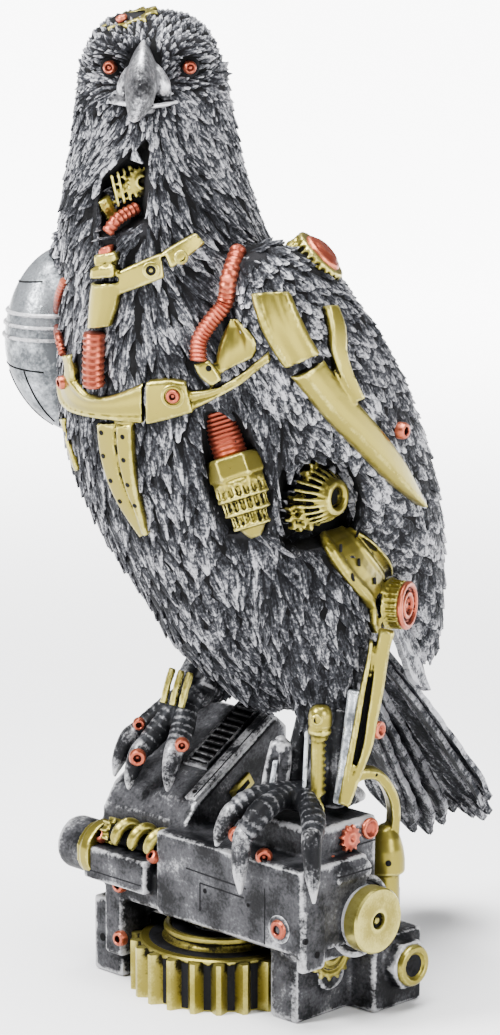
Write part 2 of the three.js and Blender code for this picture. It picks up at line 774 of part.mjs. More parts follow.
function plinthRivets() {
  const ahead = new THREE.Vector3(0, -1, 0);
  const spots = [
    [-28.5, -27, 31, 2.6, ahead],
    [-28.5, -27, 14, 2.6, ahead],
    [40, -28, 33, 2.8, ahead],
  ];
  return spots.map(([x, y, z, radius, axis]) =>
    rivet(new THREE.Vector3(deckX(x), deckY(y), z), axis, radius),
  );
}

function plinthCuts() {
  const cylinderHole = new THREE.Vector3(deckX(42) + 10, deckY(-2), 33);
  const nutHole = new THREE.Vector3(deckX(44) + 5, deckY(17), 14);
  const slide = new THREE.Vector3(8, 0, 0);
  return [
    rod(cylinderHole, cylinderHole.clone().add(slide), 2.4, 10),
    rod(nutHole, nutHole.clone().add(slide), 3.8, 10),
    box([deckX(2), deckY(-29), 29], [deckX(2.8), deckY(-27), 43]),
    box([deckX(2), deckY(-29), 43], [deckX(34), deckY(-27), 43.8]),
    box([deckX(-12), deckY(-17), DECK_TOP - 1], [deckX(-2), deckY(-13), DECK_TOP + 1]),
    ...rampSlots(),
  ];
}

function buildPlinth() {
  return cut(join([...plinthBlocks(), ...plinthMachinery(), ramp(), ...plinthRivets()]), plinthCuts());
}

function buildEagle() {
  const [left, right] = [1, -1];
  const thighCladding = { rows: 4, columns: 6, lift: birdX(2) };
  const rightThigh = sideOf(THIGH, right).map(([place, wide, deep]) => [
    place.clone().add(RIGHT_THIGH_SHIFT),
    wide,
    deep,
  ]);
  const trunk = join([
    featheredLimb(TRUNK, xAxis, { rows: 13, columns: 8, lift: birdX(2.4), bareRows: 3 }),
    featheredLimb(BACK, xAxis, { rows: 5, columns: 6, lift: birdX(2) }),
    ...[left, right].map(wing),
    featheredLimb(THIGH, xAxis, thighCladding),
    featheredLimb(rightThigh, xAxis, thighCladding),
    ...tailFeathers(),
    ...beak(),
    ...[left, right].map(brow),
  ]);
  const opened = cut(trunk, [...throatHatch(), flankWindow()]);
  return join([
    opened,
    ...[left, right].map(eye),
    crownGear(),
    collar(),
    keelStrap(),
    ...breastPipe(),
    neckBracket(),
    ...[left, right].map(breastHose),
    ...throatWorks(),
    breastCoil(),
    ...flankGears(),
    ...wingStrut(left),
    wingStrut(right)[0],
    ...shoulderGear(),
    shoulderDome(),
    ...thighPlate(),
    legStrut(),
    ...shank(bird(27, 3, 98), LEFT_ANKLE),
    ...shank(bird(-21, 5, 102), RIGHT_ANKLE),
    ...foot(LEFT_ANKLE, LEFT_TOES),
    ...foot(RIGHT_ANKLE, RIGHT_TOES),
  ]);
}

// The eagle is cut back by the plinth's seats, grown by the gap, so the two only just clear.
const seats = [ramp(SEAT_GAP), grown(PERCH, SEAT_GAP), grown(BEAM, SEAT_GAP)];

function paint(colour, roughness, metalness) {
  return new THREE.MeshStandardMaterial({ color: colour, roughness, metalness });
}

function part(name, manifold, material) {
  const mesh = new THREE.Mesh(geometryOf(manifold), material);
  mesh.name = name;
  return mesh;
}

const model = new THREE.Group();
const plinth = buildPlinth();
const eagle = cut(buildEagle(), seats);
model.add(part("eagle", eagle, paint(0x8b8d92, 0.45, 0.8)));
model.add(part("plinth", plinth, paint(0x7c7e82, 0.5, 0.75)));

export default model;
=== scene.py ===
"""A mechanical eagle figurine on its engine-like plinth, modelled and painted in Blender."""

import math
import random

import bmesh
import bpy
from bpy.props import FloatProperty, FloatVectorProperty, IntProperty, PointerProperty
from mathutils import Matrix, Vector
from mathutils.bvhtree import BVHTree
from mathutils.kdtree import KDTree


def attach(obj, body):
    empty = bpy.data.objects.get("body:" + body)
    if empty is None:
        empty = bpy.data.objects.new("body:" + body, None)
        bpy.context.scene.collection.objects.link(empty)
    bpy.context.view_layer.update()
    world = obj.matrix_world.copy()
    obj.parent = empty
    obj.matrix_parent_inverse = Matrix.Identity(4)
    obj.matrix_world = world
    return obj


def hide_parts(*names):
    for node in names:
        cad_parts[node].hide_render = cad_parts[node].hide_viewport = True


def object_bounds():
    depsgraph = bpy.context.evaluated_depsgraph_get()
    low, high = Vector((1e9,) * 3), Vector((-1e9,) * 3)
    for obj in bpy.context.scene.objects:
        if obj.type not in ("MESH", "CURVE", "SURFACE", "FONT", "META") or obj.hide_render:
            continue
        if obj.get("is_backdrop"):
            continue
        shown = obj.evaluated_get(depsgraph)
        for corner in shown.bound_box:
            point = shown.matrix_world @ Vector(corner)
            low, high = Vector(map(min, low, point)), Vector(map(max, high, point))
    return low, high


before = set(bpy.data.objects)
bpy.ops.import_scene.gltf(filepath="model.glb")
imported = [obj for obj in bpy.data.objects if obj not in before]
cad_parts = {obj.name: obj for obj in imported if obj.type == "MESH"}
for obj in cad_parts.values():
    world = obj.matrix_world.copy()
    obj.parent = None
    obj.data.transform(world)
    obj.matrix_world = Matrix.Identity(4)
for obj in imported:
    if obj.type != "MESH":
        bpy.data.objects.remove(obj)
CAD_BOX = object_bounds()

bl_info = {
    "name": "Mechanical Eagle Figurine",
    "version": (1, 0, 0),
    "blender": (4, 5, 0),
    "location": "View3D > Sidebar > Eagle",
    "description": "Builds a painted mechanical eagle on its plinth",
    "category": "Add Mesh",
}

# Pieces are modelled in millimetres and brought to metres when they are finished.
TO_METRES = 0.001
UP = Vector((0, 0, 1))
AHEAD = Vector((0, -1, 0))
LEFT = Vector((1, 0, 0))
BACKWARDS = Vector((0, 1, 0))
HIGHEST = 297.8

# What one operator makes and a later one needs: the paints, the bare body and where feathers lie.
bench = {}


# Settings


class EagleSizes(bpy.types.PropertyGroup):
    """Sizes that a user would change."""

    body_voxel: FloatProperty(name="Body Voxel", description="Grid of the bare body, in millimetres",
                              default=1.9, min=1.0)
    casting_voxel: FloatProperty(name="Casting Voxel",
                                 description="Grid of the plinth's casting, in millimetres", default=0.9,
                                 min=0.6)
    feather_lift: FloatProperty(name="Feather Lift",
                                description="How far a feather's tip stands off the body, in millimetres",
                                default=1.1, min=0)
    feather_seed: IntProperty(name="Feather Seed", description="Seed of the plumage's small irregularities",
                              default=11)


def colour_setting(name, description, default):
    return FloatVectorProperty(name=name, description=description, subtype="COLOR", size=4, default=default)


class EagleColours(bpy.types.PropertyGroup):
    """Paints of the figurine."""

    silver: colour_setting("Silver", "Dry-brushed silver", (0.34, 0.34, 0.36, 1))
    gunmetal: colour_setting("Gunmetal", "Dark ground coat", (0.003, 0.0032, 0.004, 1))
    steel: colour_setting("Steel", "Plinth's worn steel", (0.055, 0.055, 0.06, 1))
    brass: colour_setting("Brass", "Pale brass paint", (0.2, 0.165, 0.028, 1))
    copper: colour_setting("Copper", "Copper paint", (0.25, 0.05, 0.028, 1))
    chrome: colour_setting("Chrome", "Polished silver paint", (0.25, 0.265, 0.28, 1))


# Shader maths


class Value:
    """A shader socket; arithmetic on it adds the Math nodes."""

    def __init__(self, paint, socket):
        self.paint, self.socket = paint, socket

    def maths(self, operation, other=None, flip=False):
        terms = {0: self} if other is None else {0: other, 1: self} if flip else {0: self, 1: other}
        return self.paint.node("ShaderNodeMath", {"operation": operation}, terms)

    def __add__(self, other):
        return self.maths("ADD", other)

    __radd__ = __add__

    def __sub__(self, other):
        return self.maths("SUBTRACT", other)

    def __rsub__(self, other):
        return self.maths("SUBTRACT", other, flip=True)

    def __mul__(self, other):
        return self.maths("MULTIPLY", other)

    __rmul__ = __mul__

    def __pow__(self, other):
        return self.maths("POWER", other)

    def size(self):
        return self.maths("ABSOLUTE")

    def between(self, low, high):
        """0 below low and 1 above high, with a soft step between."""
        return self.paint.node(
            "ShaderNodeMapRange",
            {"interpolation_type": "SMOOTHSTEP"},
            {"Value": self, "From Min": low, "From Max": high},
        )


class Paint:
    """A material and its node tree."""

    def __init__(self, name):
        self.material = bpy.data.materials.new(name)
        self.material.use_nodes = True
        self.tree = self.material.node_tree
        self.shader = self.tree.nodes["Principled BSDF"]

    def node(self, kind, settings=None, inputs=None, output=0):
        made = self.tree.nodes.new(kind)
        for key, value in (settings or {}).items():
            setattr(made, key, value)
        for key, value in (inputs or {}).items():
            if isinstance(value, Value):
                self.tree.links.new(value.socket, made.inputs[key])
            else:
                made.inputs[key].default_value = value
        return Value(self, made.outputs[output])

    def mix(self, low, high, share):
        return self.node("ShaderNodeMix", {"data_type": "RGBA"}, {0: share, 6: low, 7: high}, 2)

    def attribute(self, name):
        return self.node("ShaderNodeAttribute", {"attribute_name": name}, output=2)

    def place(self):
        return self.node("ShaderNodeTexCoord", output=3)

    def noise(self, scale, vector=None, detail=3.0, rough=0.6):
        inputs = {"Vector": vector or self.place(), "Scale": scale, "Detail": detail, "Roughness": rough}
        return self.node("ShaderNodeTexNoise", inputs=inputs)

    def bump(self, height, depth_mm, strength=1.0):
        return self.node("ShaderNodeBump",
                         inputs={"Strength": strength, "Distance": depth_mm * TO_METRES, "Height": height})

    def wire(self, **sockets):
        for name, value in sockets.items():
            socket = self.shader.inputs[name.replace("_", " ")]
            if isinstance(value, Value):
                self.tree.links.new(value.socket, socket)
            else:
                socket.default_value = value
        return self.material


def plumage_paint(colours):
    """Dark ground coat with silver brushed over each feather's tip, ridges and barbs."""
    paint = Paint("plumage_paint")
    across, along = (
        paint.node("ShaderNodeSeparateXYZ",
                   inputs={0: paint.node("ShaderNodeUVMap", {"uv_map": "feather"})}, output=i)
        for i in (0, 1)
    )
    worn, tone = paint.attribute("worn"), paint.attribute("tone")
    stretched = paint.node("ShaderNodeCombineXYZ", inputs={0: across * 3.2, 1: along * 1.2, 2: tone * 37.0})
    streaks = paint.noise(1.8, stretched, 4.0, 0.7)
    speckle = paint.noise(1100.0, detail=3.0)
    cloud = paint.noise(85.0, detail=2.0)
    silver = worn * 0.95 + (streaks - 0.5) * 2.4 + (speckle - 0.5) * 1.6
    silver = silver + (tone - 0.5) * 0.35 + (cloud - 0.5) * 1.3
    brushed = silver.between(0.46, 1.2)
    ground = paint.mix(colours.gunmetal, (0.024, 0.025, 0.029, 1), silver.between(0.0, 0.55))
    return paint.wire(
        Base_Color=paint.mix(ground, colours.silver, brushed),
        Metallic=brushed * 0.75,
        Roughness=0.62 - brushed * 0.2,
        Specular_IOR_Level=0.06,
        Normal=paint.bump(streaks * 0.8 + speckle * 0.35, 0.4, 0.9),
    )


def cast_paint(name, colours, tint, bright, metal=0.6, rough=0.5, ground=None):
    """Cast surface: the dark ground in the recesses as painted shade and in random clouds, bright rubbed
    edges, fine speckle.
    """
    paint = Paint(name)
    worn, recess = paint.attribute("worn"), paint.attribute("recess")
    cloud = paint.noise(95.0, detail=6.0)
    speckle = paint.noise(1000.0, detail=3.0)
    # open_face gives way to the dark ground where recess is high, and edge dims there: painted shade in the
    # recesses.
    open_face = ((1 - recess) * 1.1 + (cloud - 0.5) * 3.2 + (speckle - 0.5) * 1.3 - 0.5).between(0.1, 1.1)
    edge = (worn * 1.0 + (speckle - 0.5) * 1.2 + (cloud - 0.5) * 2.6 - recess * 0.7).between(0.25, 1.0)
    return paint.wire(
        Base_Color=paint.mix(paint.mix(ground or colours.gunmetal, tint, open_face), bright, edge),
        Metallic=metal * open_face,
        Roughness=rough - edge * 0.12 + speckle * 0.1,
        Specular_IOR_Level=0.1,
        Normal=paint.bump(speckle * 0.5 + cloud, 0.3, 0.7),
    )


def metal_paint(name, colour, bright, dirt_and_shade_colour, rough=0.3):
    """Bright metallic paint: darker in the recesses as painted shade and in clouds as dirt, lighter on raised
    edges as wear and painted highlight.
    """
    paint = Paint(name)
    worn, recess = paint.attribute("worn"), paint.attribute("recess")
    cloud = paint.noise(150.0, detail=5.0)
    speckle = paint.noise(1500.0, detail=3.0)
    # The recess term here is painted shade; the cloud and speckle terms are dirt.
    dirt_and_shade = (recess * 2.1 + (cloud - 0.5) * 1.6 + (speckle - 0.5) * 0.9 - worn * 0.3).between(0.25, 1.0)
    # Lighter on raised edges and in clouds: worn paint, and a painted highlight on the edges.
    clean = paint.mix(colour, bright,
                      (worn * 0.8 + (cloud - 0.5) * 1.2 + (speckle - 0.5) * 0.6).between(0.3, 0.95))
    return paint.wire(
        Base_Color=paint.mix(clean, dirt_and_shade_colour, dirt_and_shade),
        Metallic=0.85,
        Roughness=rough + dirt_and_shade * 0.3 + speckle * 0.12,
        Specular_IOR_Level=0.3,
        Normal=paint.bump(speckle * 0.4 + cloud, 0.12, 0.5),
    )


def paints():
    """The figurine's materials, made once."""
    if "paints" in bench:
        return bench["paints"]
    colours = bpy.context.scene.eagle_colours
    pick = {key: tuple(getattr(colours, key)) for key in ("silver", "gunmetal", "steel", "brass", "copper",
        "chrome")}
    colours = type("Colours", (), pick)
    bench["paints"] = {
        "plumage": plumage_paint(colours),
        "skin": cast_paint("skin_paint", colours, (0.02, 0.021, 0.024, 1), (0.2, 0.2, 0.21, 1), 0.5, 0.45),
        "steel": cast_paint("steel_paint", colours, colours.steel, (0.36, 0.36, 0.37, 1), 0.5, 0.42),
        "silver": cast_paint("silver_paint", colours, (0.1, 0.1, 0.106, 1), (0.45, 0.45, 0.47, 1), 0.75,
                             0.36),
        # brass and copper: the bright colour is worn edge and painted highlight, the last colour dirt and
        # painted shade
        "brass": metal_paint("brass_paint", colours.brass, (0.42, 0.37, 0.1, 1), (0.006, 0.005, 0.001, 1),
                             0.24),
        "copper": metal_paint("copper_paint", colours.copper, (0.45, 0.12, 0.065, 1),
                              (0.014, 0.002, 0.001, 1)),
        "chrome": cast_paint("chrome_paint", colours, colours.chrome, (0.5, 0.53, 0.56, 1), 0.9, 0.25,
                             (0.05, 0.055, 0.06, 1)),
        # near-black paint for slots, holes, grooves, panel lines, hollows and the bare body between feathers:
        # painted shade
        "dark": cast_paint("shadow_paint", colours, (0.0012, 0.0012, 0.0014, 1), (0.006, 0.006, 0.007, 1),
                           0.0, 0.8, (0.0006, 0.0006, 0.0007, 1)),
    }
    return bench["paints"]


# Shapes


def spline(points, share):
    """A point of a smooth curve through the points, at a share of its length from 0 to 1."""
    spans = len(points) - 1
    place = min(max(share, 0.0), 1.0) * spans
    i = min(int(place), spans - 1)
    t = place - i
    b, c = points[i], points[i + 1]
    a = points[i - 1] if i else 2 * b - c
    d = points[i + 2] if i + 2 <= spans else 2 * c - b
    return 0.5 * (2 * b + (c - a) * t + (2 * a - 5 * b + 4 * c - d) * t**2 + (3 * b - a - 3 * c + d) * t**3)


class Limb:
    """An oval section carried along a path; each station is x, y, z, half width, half depth."""

    def __init__(self, stations, across=LEFT, side=1):
        self.path = [Vector((side * x, y, z)) for x, y, z, _, _ in stations]
        self.sizes = [Vector((wide, deep, 0)) for _, _, _, wide, deep in stations]
        self.across = across

    def along(self, share):
        return (spline(self.path, share + 0.01) - spline(self.path, share - 0.01)).normalized()

    def surface(self, share, angle, lift=0.0):
        tangent = self.along(share)
        width = (self.across - tangent * self.across.dot(tangent)).normalized()
        depth = tangent.cross(width)
        size = spline(self.sizes, share)
        return (
            spline(self.path, share)
            + width * ((max(size.x, 0.1) + lift) * math.cos(angle))
            + depth * ((max(size.y, 0.1) + lift) * math.sin(angle))
        )

    def rings(self, count, sides):
        turn = 2 * math.pi / sides
        return [[self.surface(r / count, i * turn) for i in range(sides)] for r in range(count + 1)]


def loft(bm, rings):
    """A closed skin: a circle laid on the first ring and extruded from ring to ring."""
    loop = list(bmesh.ops.create_circle(bm, segments=len(rings[0]), radius=1, cap_ends=True)["verts"])
    for vert, place in zip(loop, rings[0]):
        vert.co = place
    made = list(loop)
    for ring in rings[1:]:
        edges = [bm.edges.get((loop[i - 1], loop[i])) for i in range(len(loop))]
        out = bmesh.ops.extrude_edge_only(bm, edges=edges)["geom"]
        fresh = {v for v in out if isinstance(v, bmesh.types.BMVert)}
        loop = [next(e.other_vert(v) for e in v.link_edges if e.other_vert(v) in fresh) for v in loop]
        for vert, place in zip(loop, ring):
            vert.co = place
        made += loop
    bmesh.ops.contextual_create(bm, geom=[bm.edges.get((loop[i - 1], loop[i])) for i in range(len(loop))])
    return made


def frame_along(axis, place, up=UP):
    """A matrix whose Z points along the axis and whose X lies level where it can."""
    z = axis.normalized()
    x = up.cross(z)
    x = (x if x.length > 1e-4 else LEFT.copy()).normalized()
    turn = Matrix((x, z.cross(x), z)).transposed().to_4x4()
    turn.translation = place
    return turn


def turned(bm, profile, axis, place, sides=24):
    """A turned part from (radius, height) pairs, spun round its axis."""
    points = [(0, profile[0][1]), *profile, (0, profile[-1][1])]
    chain = [bm.verts.new((radius, 0, height)) for radius, height in points]
    edges = [bm.edges.new(pair) for pair in zip(chain, chain[1:])]
    before = set(bm.verts) - set(chain)
    bmesh.ops.spin(
        bm, geom=chain + edges, cent=(0, 0, 0), axis=(0, 0, 1), angle=2 * math.pi, steps=sides,
                   use_merge=True,
        use_normal_flip=False, use_duplicate=False,
    )
    verts = [v for v in bm.verts if v not in before]
    bmesh.ops.remove_doubles(bm, verts=verts, dist=1e-4)
    verts = [v for v in verts if v.is_valid]
    bmesh.ops.transform(bm, matrix=frame_along(axis, place), verts=verts)
    return verts


def block(bm, low, high, bevel=0.8, turn=None):
    """A box from corner to corner with rounded edges, turned by a matrix where one is given."""
    low, high = Vector(low), Vector(high)
    size, middle = high - low, (high + low) / 2
    place = Matrix.Translation(middle) @ Matrix.Diagonal((*size, 1))
    made = bmesh.ops.create_cube(bm, size=1, matrix=(turn @ place) if turn else place)["verts"]
    edges = list({e for v in made for e in v.link_edges})
    if bevel:
        out = bmesh.ops.bevel(bm, geom=edges, offset=bevel, segments=2, profile=0.5, affect="EDGES",
                              material=-1)
        return list({v for v in out["verts"]})
    return made


def rod(bm, start, end, radius, end_radius=None, sides=20, bevel=0.4):
    axis = end - start
    far = radius if end_radius is None else end_radius
    bevel = min(bevel, 0.4 * radius, 0.4 * far)
    profile = [(radius - bevel, 0), (radius, bevel), (far, axis.length - bevel), (far - bevel, axis.length)]
    return turned(bm, profile, axis, start, sides)


def gear(bm, teeth, radius, tooth, thickness, axis, place, hole=0.0, hub=0.0, tooth_share=0.5, rows=1):
    """A spur gear: a disc whose rim faces are pulled out tooth by tooth."""
    sides = 4 * teeth
    root = radius - tooth
    profile = [(root, thickness * k / rows) for k in range(rows + 1)]
    if hole:
        profile = [(hole, 0), (root, 0), (root, thickness), (hole, thickness)]
    if hub:
        rise = 0.18 * thickness
        profile = [(root, 0), (root, thickness), (root - 1.2, thickness), (root - 1.6, thickness - rise),
                   (hub + 0.4, thickness - rise), (hub, thickness + rise), (hub * 0.55, thickness + rise),
                   (hub * 0.5, thickness - rise)]
    verts = turned(bm, profile, UP, Vector(), sides)
    if hole:
        inner = [f for f in {f for v in verts for f in v.link_faces}
                 if all(Vector((v.co.x, v.co.y)).length < hole + 1e-3 for v in f.verts)
                 and any(Vector((v.co.x, v.co.y)).length < 1e-3 for v in f.verts)]
        bmesh.ops.delete(bm, geom=inner, context="FACES")
        verts = [v for v in verts if v.is_valid]
        rims = [e for e in {e for v in verts for e in v.link_edges} if e.is_boundary]
        bmesh.ops.bridge_loops(bm, edges=rims)
    pitch = 2 * math.pi / teeth
    for vert in verts:
        reach = Vector((vert.co.x, vert.co.y)).length
        if reach > root - 1e-3:
            angle = math.atan2(vert.co.y, vert.co.x)
            step = round(angle / (pitch / 4)) % 4
            if step in (0, 1):
                angle += (0.5 - step) * pitch * 0.25 * (1 - tooth_share)
                vert.co.x, vert.co.y = radius * math.cos(angle), radius * math.sin(angle)
    bmesh.ops.transform(bm, matrix=frame_along(axis, place), verts=verts)
    return verts


def strap(bm, points, out, width, thickness, steps=16, groove=0.0):
    """A bar of rounded rectangular section bent along a path, its broad face turned to out(t)."""
    rings = []
    for step in range(steps + 1):
        t = step / steps
        tangent = (spline(points, t + 0.01) - spline(points, t - 0.01)).normalized()
        normal = out(t)
        normal = (normal - tangent * normal.dot(tangent)).normalized()
        side = tangent.cross(normal)
        wide = (width(t) if callable(width) else width) / 2
        high = thickness / 2
        lip = min(0.7, 0.3 * wide, 0.5 * high)
        section = [(wide, high - lip), (wide - lip, high), (0.35 * wide, high), (0, high - groove),
                   (-0.35 * wide, high),
                   (lip - wide, high), (-wide, high - lip), (-wide, -high), (wide, -high)]
        rings.append([spline(points, t) + side * a + normal * b for a, b in section])
    return loft(bm, rings)


def hose(bm, points, radius, ribs, sides=12, depth=0.22):
    """A ribbed hose: rings swell and shrink along a path."""
    rings, steps = [], 4 * ribs
    guide = None
    for step in range(steps + 1):
        t = step / steps
        tangent = (spline(points, t + 0.01) - spline(points, t - 0.01)).normalized()
        guide = tangent.orthogonal() if guide is None else guide - tangent * guide.dot(tangent)
        guide.normalize()
        other = tangent.cross(guide)
        reach = radius * (1 - depth * (0.5 + 0.5 * math.cos(2 * math.pi * ribs * t)))
        rings.append([
            spline(points, t) + guide * (reach * math.cos(a)) + other * (reach * math.sin(a))
            for a in (2 * math.pi * i / sides for i in range(sides))
        ])
    return loft(bm, rings)


def rivet(bm, place, axis, radius, height):
    """A domed rivet with a dimple in its middle."""
    profile = [(radius, -1.0), (radius, 0.4 * height), (0.82 * radius, 0.9 * height), (0.55 * radius, height)]
    profile += [(0.45 * radius, 0.85 * height), (0.38 * radius, 0.1 * height)]
    return turned(bm, profile, axis, place, 16)


def remeshed(bm, voxel, smooth=3):
    """The outer skin of everything in a bmesh, on an even grid."""
    source = bpy.data.meshes.new("rough")
    bm.to_mesh(source)
    bm.free()
    holder = bpy.data.objects.new("rough", source)
    bpy.context.scene.collection.objects.link(holder)
    grid = holder.modifiers.new("grid", "REMESH")
    grid.mode, grid.voxel_size = "VOXEL", voxel
    skin = bmesh.new()
    skin.from_mesh(holder.evaluated_get(bpy.context.evaluated_depsgraph_get()).to_mesh())
    bpy.data.objects.remove(holder)
    bpy.data.meshes.remove(source)
    for _ in range(smooth):
        bmesh.ops.smooth_vert(skin, verts=skin.verts, factor=0.5, use_axis_x=True, use_axis_y=True,
                              use_axis_z=True)
    return skin


SLOTS = {
    "plumage": "antique_silver", "skin": "antique_silver", "dark": "antique_silver", "steel": "worn_steel",
    "brass": "brass_paint", "copper": "copper_paint", "chrome": "chrome_paint", "silver": "chrome_paint",
}
SHARP_DEGREES = 38


def layer(bm, name):
    return bm.verts.layers.float.get(name) or bm.verts.layers.float.new(name)


def weather(bm, around, edge_gain, reach=7.0):
    """Stores how far each vertex stands out (worn) and how shut in it is (recess), which the paints turn into
    painted shade.
    """
    bm.normal_update()
    worn, recess = layer(bm, "worn"), layer(bm, "recess")
    trees = [BVHTree.FromBMesh(bm)] + ([around] if around else [])
    tilt = [(0.0, 0.0)] + [(0.9, k * math.pi / 3) for k in range(6)]
    raw = {}
    for vert in bm.verts:
        near = [e.other_vert(vert).co for e in vert.link_edges]
        middle = sum(near, Vector()) / max(len(near), 1)
        span = max(sum((p - vert.co).length for p in near) / max(len(near), 1), 1e-4)
        raw[vert] = (vert.co - middle).dot(vert.normal) / span
    for vert in bm.verts:
        soft = sum((raw[e.other_vert(vert)] for e in vert.link_edges), raw[vert]) / (1 + len(vert.link_edges))
        vert[worn] = min(max(0.5 * (soft + raw[vert]) * edge_gain, 0.0), 1.0)
        side = vert.normal.orthogonal().normalized()
        other = vert.normal.cross(side)
        start = vert.co + vert.normal * 0.25
        shut = 0.0
        for slope, angle in tilt:
            sway = side * math.cos(angle) + other * math.sin(angle)
            ray = vert.normal * math.cos(slope) + sway * math.sin(slope)
            hits = [tree.ray_cast(start, ray, reach)[3] for tree in trees]
            nearest = min((h for h in hits if h is not None), default=None)
            if nearest is not None:
                shut += 1 - nearest / reach
        # recess: the paints darken by it, as painted shade in the recesses
        vert[recess] = min(shut / 4.0, 1.0)


def finish_piece(name, bm, material, node, weathered=True, around=None, tidy=True, gain=9.0):
    """Makes a piece of a bmesh: normals, weathering, metres, paint, body and node."""
    if tidy:
        bmesh.ops.remove_doubles(bm, verts=bm.verts, dist=1e-5)
        bmesh.ops.recalc_face_normals(bm, faces=bm.faces)
    if weathered:
        weather(bm, around=around, edge_gain=gain)
    for face in bm.faces:
        face.smooth = True
    bmesh.ops.scale(bm, vec=(TO_METRES,) * 3, verts=bm.verts)
    mesh = bpy.data.meshes.new(name)
    bm.to_mesh(mesh)
    bm.free()
    mesh.set_sharp_from_angle(angle=math.radians(SHARP_DEGREES))
    piece = bpy.data.objects.new(name, mesh)
    bpy.context.scene.collection.objects.link(piece)
    mesh.materials.append(paints()[material])
    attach(piece, "root")
    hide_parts(node)
    SLOTS[material]
    return piece


class Tray:
    """The bmeshes that one operator fills, one for each finish; cast ones are remeshed, fine ones not."""

    def __init__(self, name, node="eagle"):
        self.name, self.node = name, node
        self.cast, self.crisp = {}, {}

    def __getitem__(self, finish):
        return self.cast.setdefault(finish, bmesh.new())

    def fine(self, finish):
        """The bmesh for parts that keep their own edges."""
        return self.crisp.setdefault(finish, bmesh.new())

    def finish(self, voxel=0.6, around=None):
        for finish, bm in self.cast.items():
            finish_piece(f"{self.name}_{finish}", remeshed(bm, voxel, 1), finish, self.node, around=around)
        for finish, bm in self.crisp.items():
            near_by = None if finish == "copper" else around
            finish_piece(f"{self.name}_{finish}_fine", bm, finish, self.node, gain=3.15, around=near_by)


def tapered(bm, points, radii, sides=16, steps=5, ripple=0.0, flat=1.0):
    """A round limb through points with a radius at each, rippled with scutes where asked."""
    sizes = [Vector((r, r, 0)) for r in radii]
    count = steps * (len(points) - 1)
    rings, guide = [], None
    for step in range(count + 1):
        t = step / count
        tangent = (spline(points, t + 0.01) - spline(points, t - 0.01)).normalized()
        guide = (LEFT if guide is None else guide)
        guide = (guide - tangent * guide.dot(tangent)).normalized()
        other = tangent.cross(guide)
        reach = max(spline(sizes, t).x, 0.15)
        if ripple:
            reach *= 1 + ripple * (1 if step % 2 else -1)
        rings.append([
            spline(points, t) + guide * (reach * math.cos(a)) + other * (reach * flat * math.sin(a))
            for a in (2 * math.pi * i / sides for i in range(sides))
        ])
    return loft(bm, rings)


# The eagle's sections, as its solid has them

TRUNK = Limb([
    (1, -40, 296, 8.5, 8.5), (1, -40, 291, 16, 16), (1, -40, 280, 20.5, 20.5), (1, -39, 262, 22.5, 22.5),
    (0.5, -36.5, 240, 25.5, 27), (0, -32, 218, 32, 30), (0, -28, 196, 39, 32), (-1.5, -23, 174, 41, 32),
    (-2, -16, 152, 37, 29), (0, -7, 130, 29, 25), (1, 3, 110, 22, 20), (2, 10, 95, 15, 14), (2, 13, 87, 7, 7),
])
BACK = Limb([
    (0, -28, 234, 20, 9), (0, -18, 218, 34, 15), (0, -5, 195, 38, 21), (0, 7, 170, 37, 22),
    (0, 18, 145, 31, 19), (0, 28, 120, 23, 13), (0, 36, 100, 12, 7),
])
WING_STATIONS = [
    (32, -34, 230, 8, 7), (39, -26, 216, 12, 17), (43, -9, 192, 12.5, 20), (42, 11, 165, 10.5, 18),
    (36, 30, 140, 8, 13.5), (28, 44, 116, 6, 9), (23, 53, 97, 3, 4),
]
WINGS = {side: Limb(WING_STATIONS, side=side) for side in (1, -1)}
THIGH_STATIONS = [
    (25, -8, 150, 13, 17), (28, -3, 132, 15, 21), (29, 3, 112, 14, 19), (29, 4, 95, 10, 13),
                  (28, 3, 82, 6, 7),
]
THIGHS = {
    1: Limb(THIGH_STATIONS),
    -1: Limb([(x - 7, y + 10, z + 3, a, b) for x, y, z, a, b in THIGH_STATIONS], side=-1),
}
LEFT_ANKLE, RIGHT_ANKLE = Vector((28, -7, 67)), Vector((-21, -3, 88))
HEAD = Vector((1, -40, 0))
HEAD_TURN = math.radians(45)


def on_head(x, y, z):
    """A place on the head, given as if it looked ahead."""
    return HEAD + Matrix.Rotation(HEAD_TURN, 3, "Z") @ Vector((x, y, 0)) + UP * z


HEAD_LEFT = Vector((math.cos(HEAD_TURN), math.sin(HEAD_TURN), 0))
HEAD_AHEAD = Vector((math.sin(HEAD_TURN), -math.cos(HEAD_TURN), 0))


def outwards(degrees):
    angle = math.radians(degrees)
    return Vector((math.sin(angle), -math.cos(angle), 0))


# Places on the body by the photograph's pixels; the camera's lens and the photograph's middle

CAMERA_AT, CAMERA_AIM = Vector((778, -778, 380)), Vector((0, 0, 144.8))
LENS, SENSOR = 132.2, 36
PHOTO_HEIGHT = 1035
MIDDLE_X, MIDDLE_Y = 250, 517.5
FOCAL = LENS / SENSOR * PHOTO_HEIGHT
BODY_MIDDLE = Vector((10, -20, 160))
VIEW_AHEAD = (CAMERA_AIM - CAMERA_AT).normalized()
VIEW_RIGHT = VIEW_AHEAD.cross(UP).normalized()
VIEW_UP = VIEW_RIGHT.cross(VIEW_AHEAD)
TO_CAMERA = Vector((1, -1, 0)).normalized()

# Hollows in the plumage: convex outlines in pixels, and their depths.
HOLLOWS = {
    "throat": ([(96, 182), (150, 136), (149, 226), (101, 238)], 8.0),
    "coil": ([(202, 410), (238, 408), (258, 450), (274, 500), (268, 532), (226, 534), (206, 492),
              (198, 450)], 4.5),
    "flank": ([(276, 472), (320, 452), (352, 462), (366, 500), (350, 545), (278, 552)], 9.0),
}


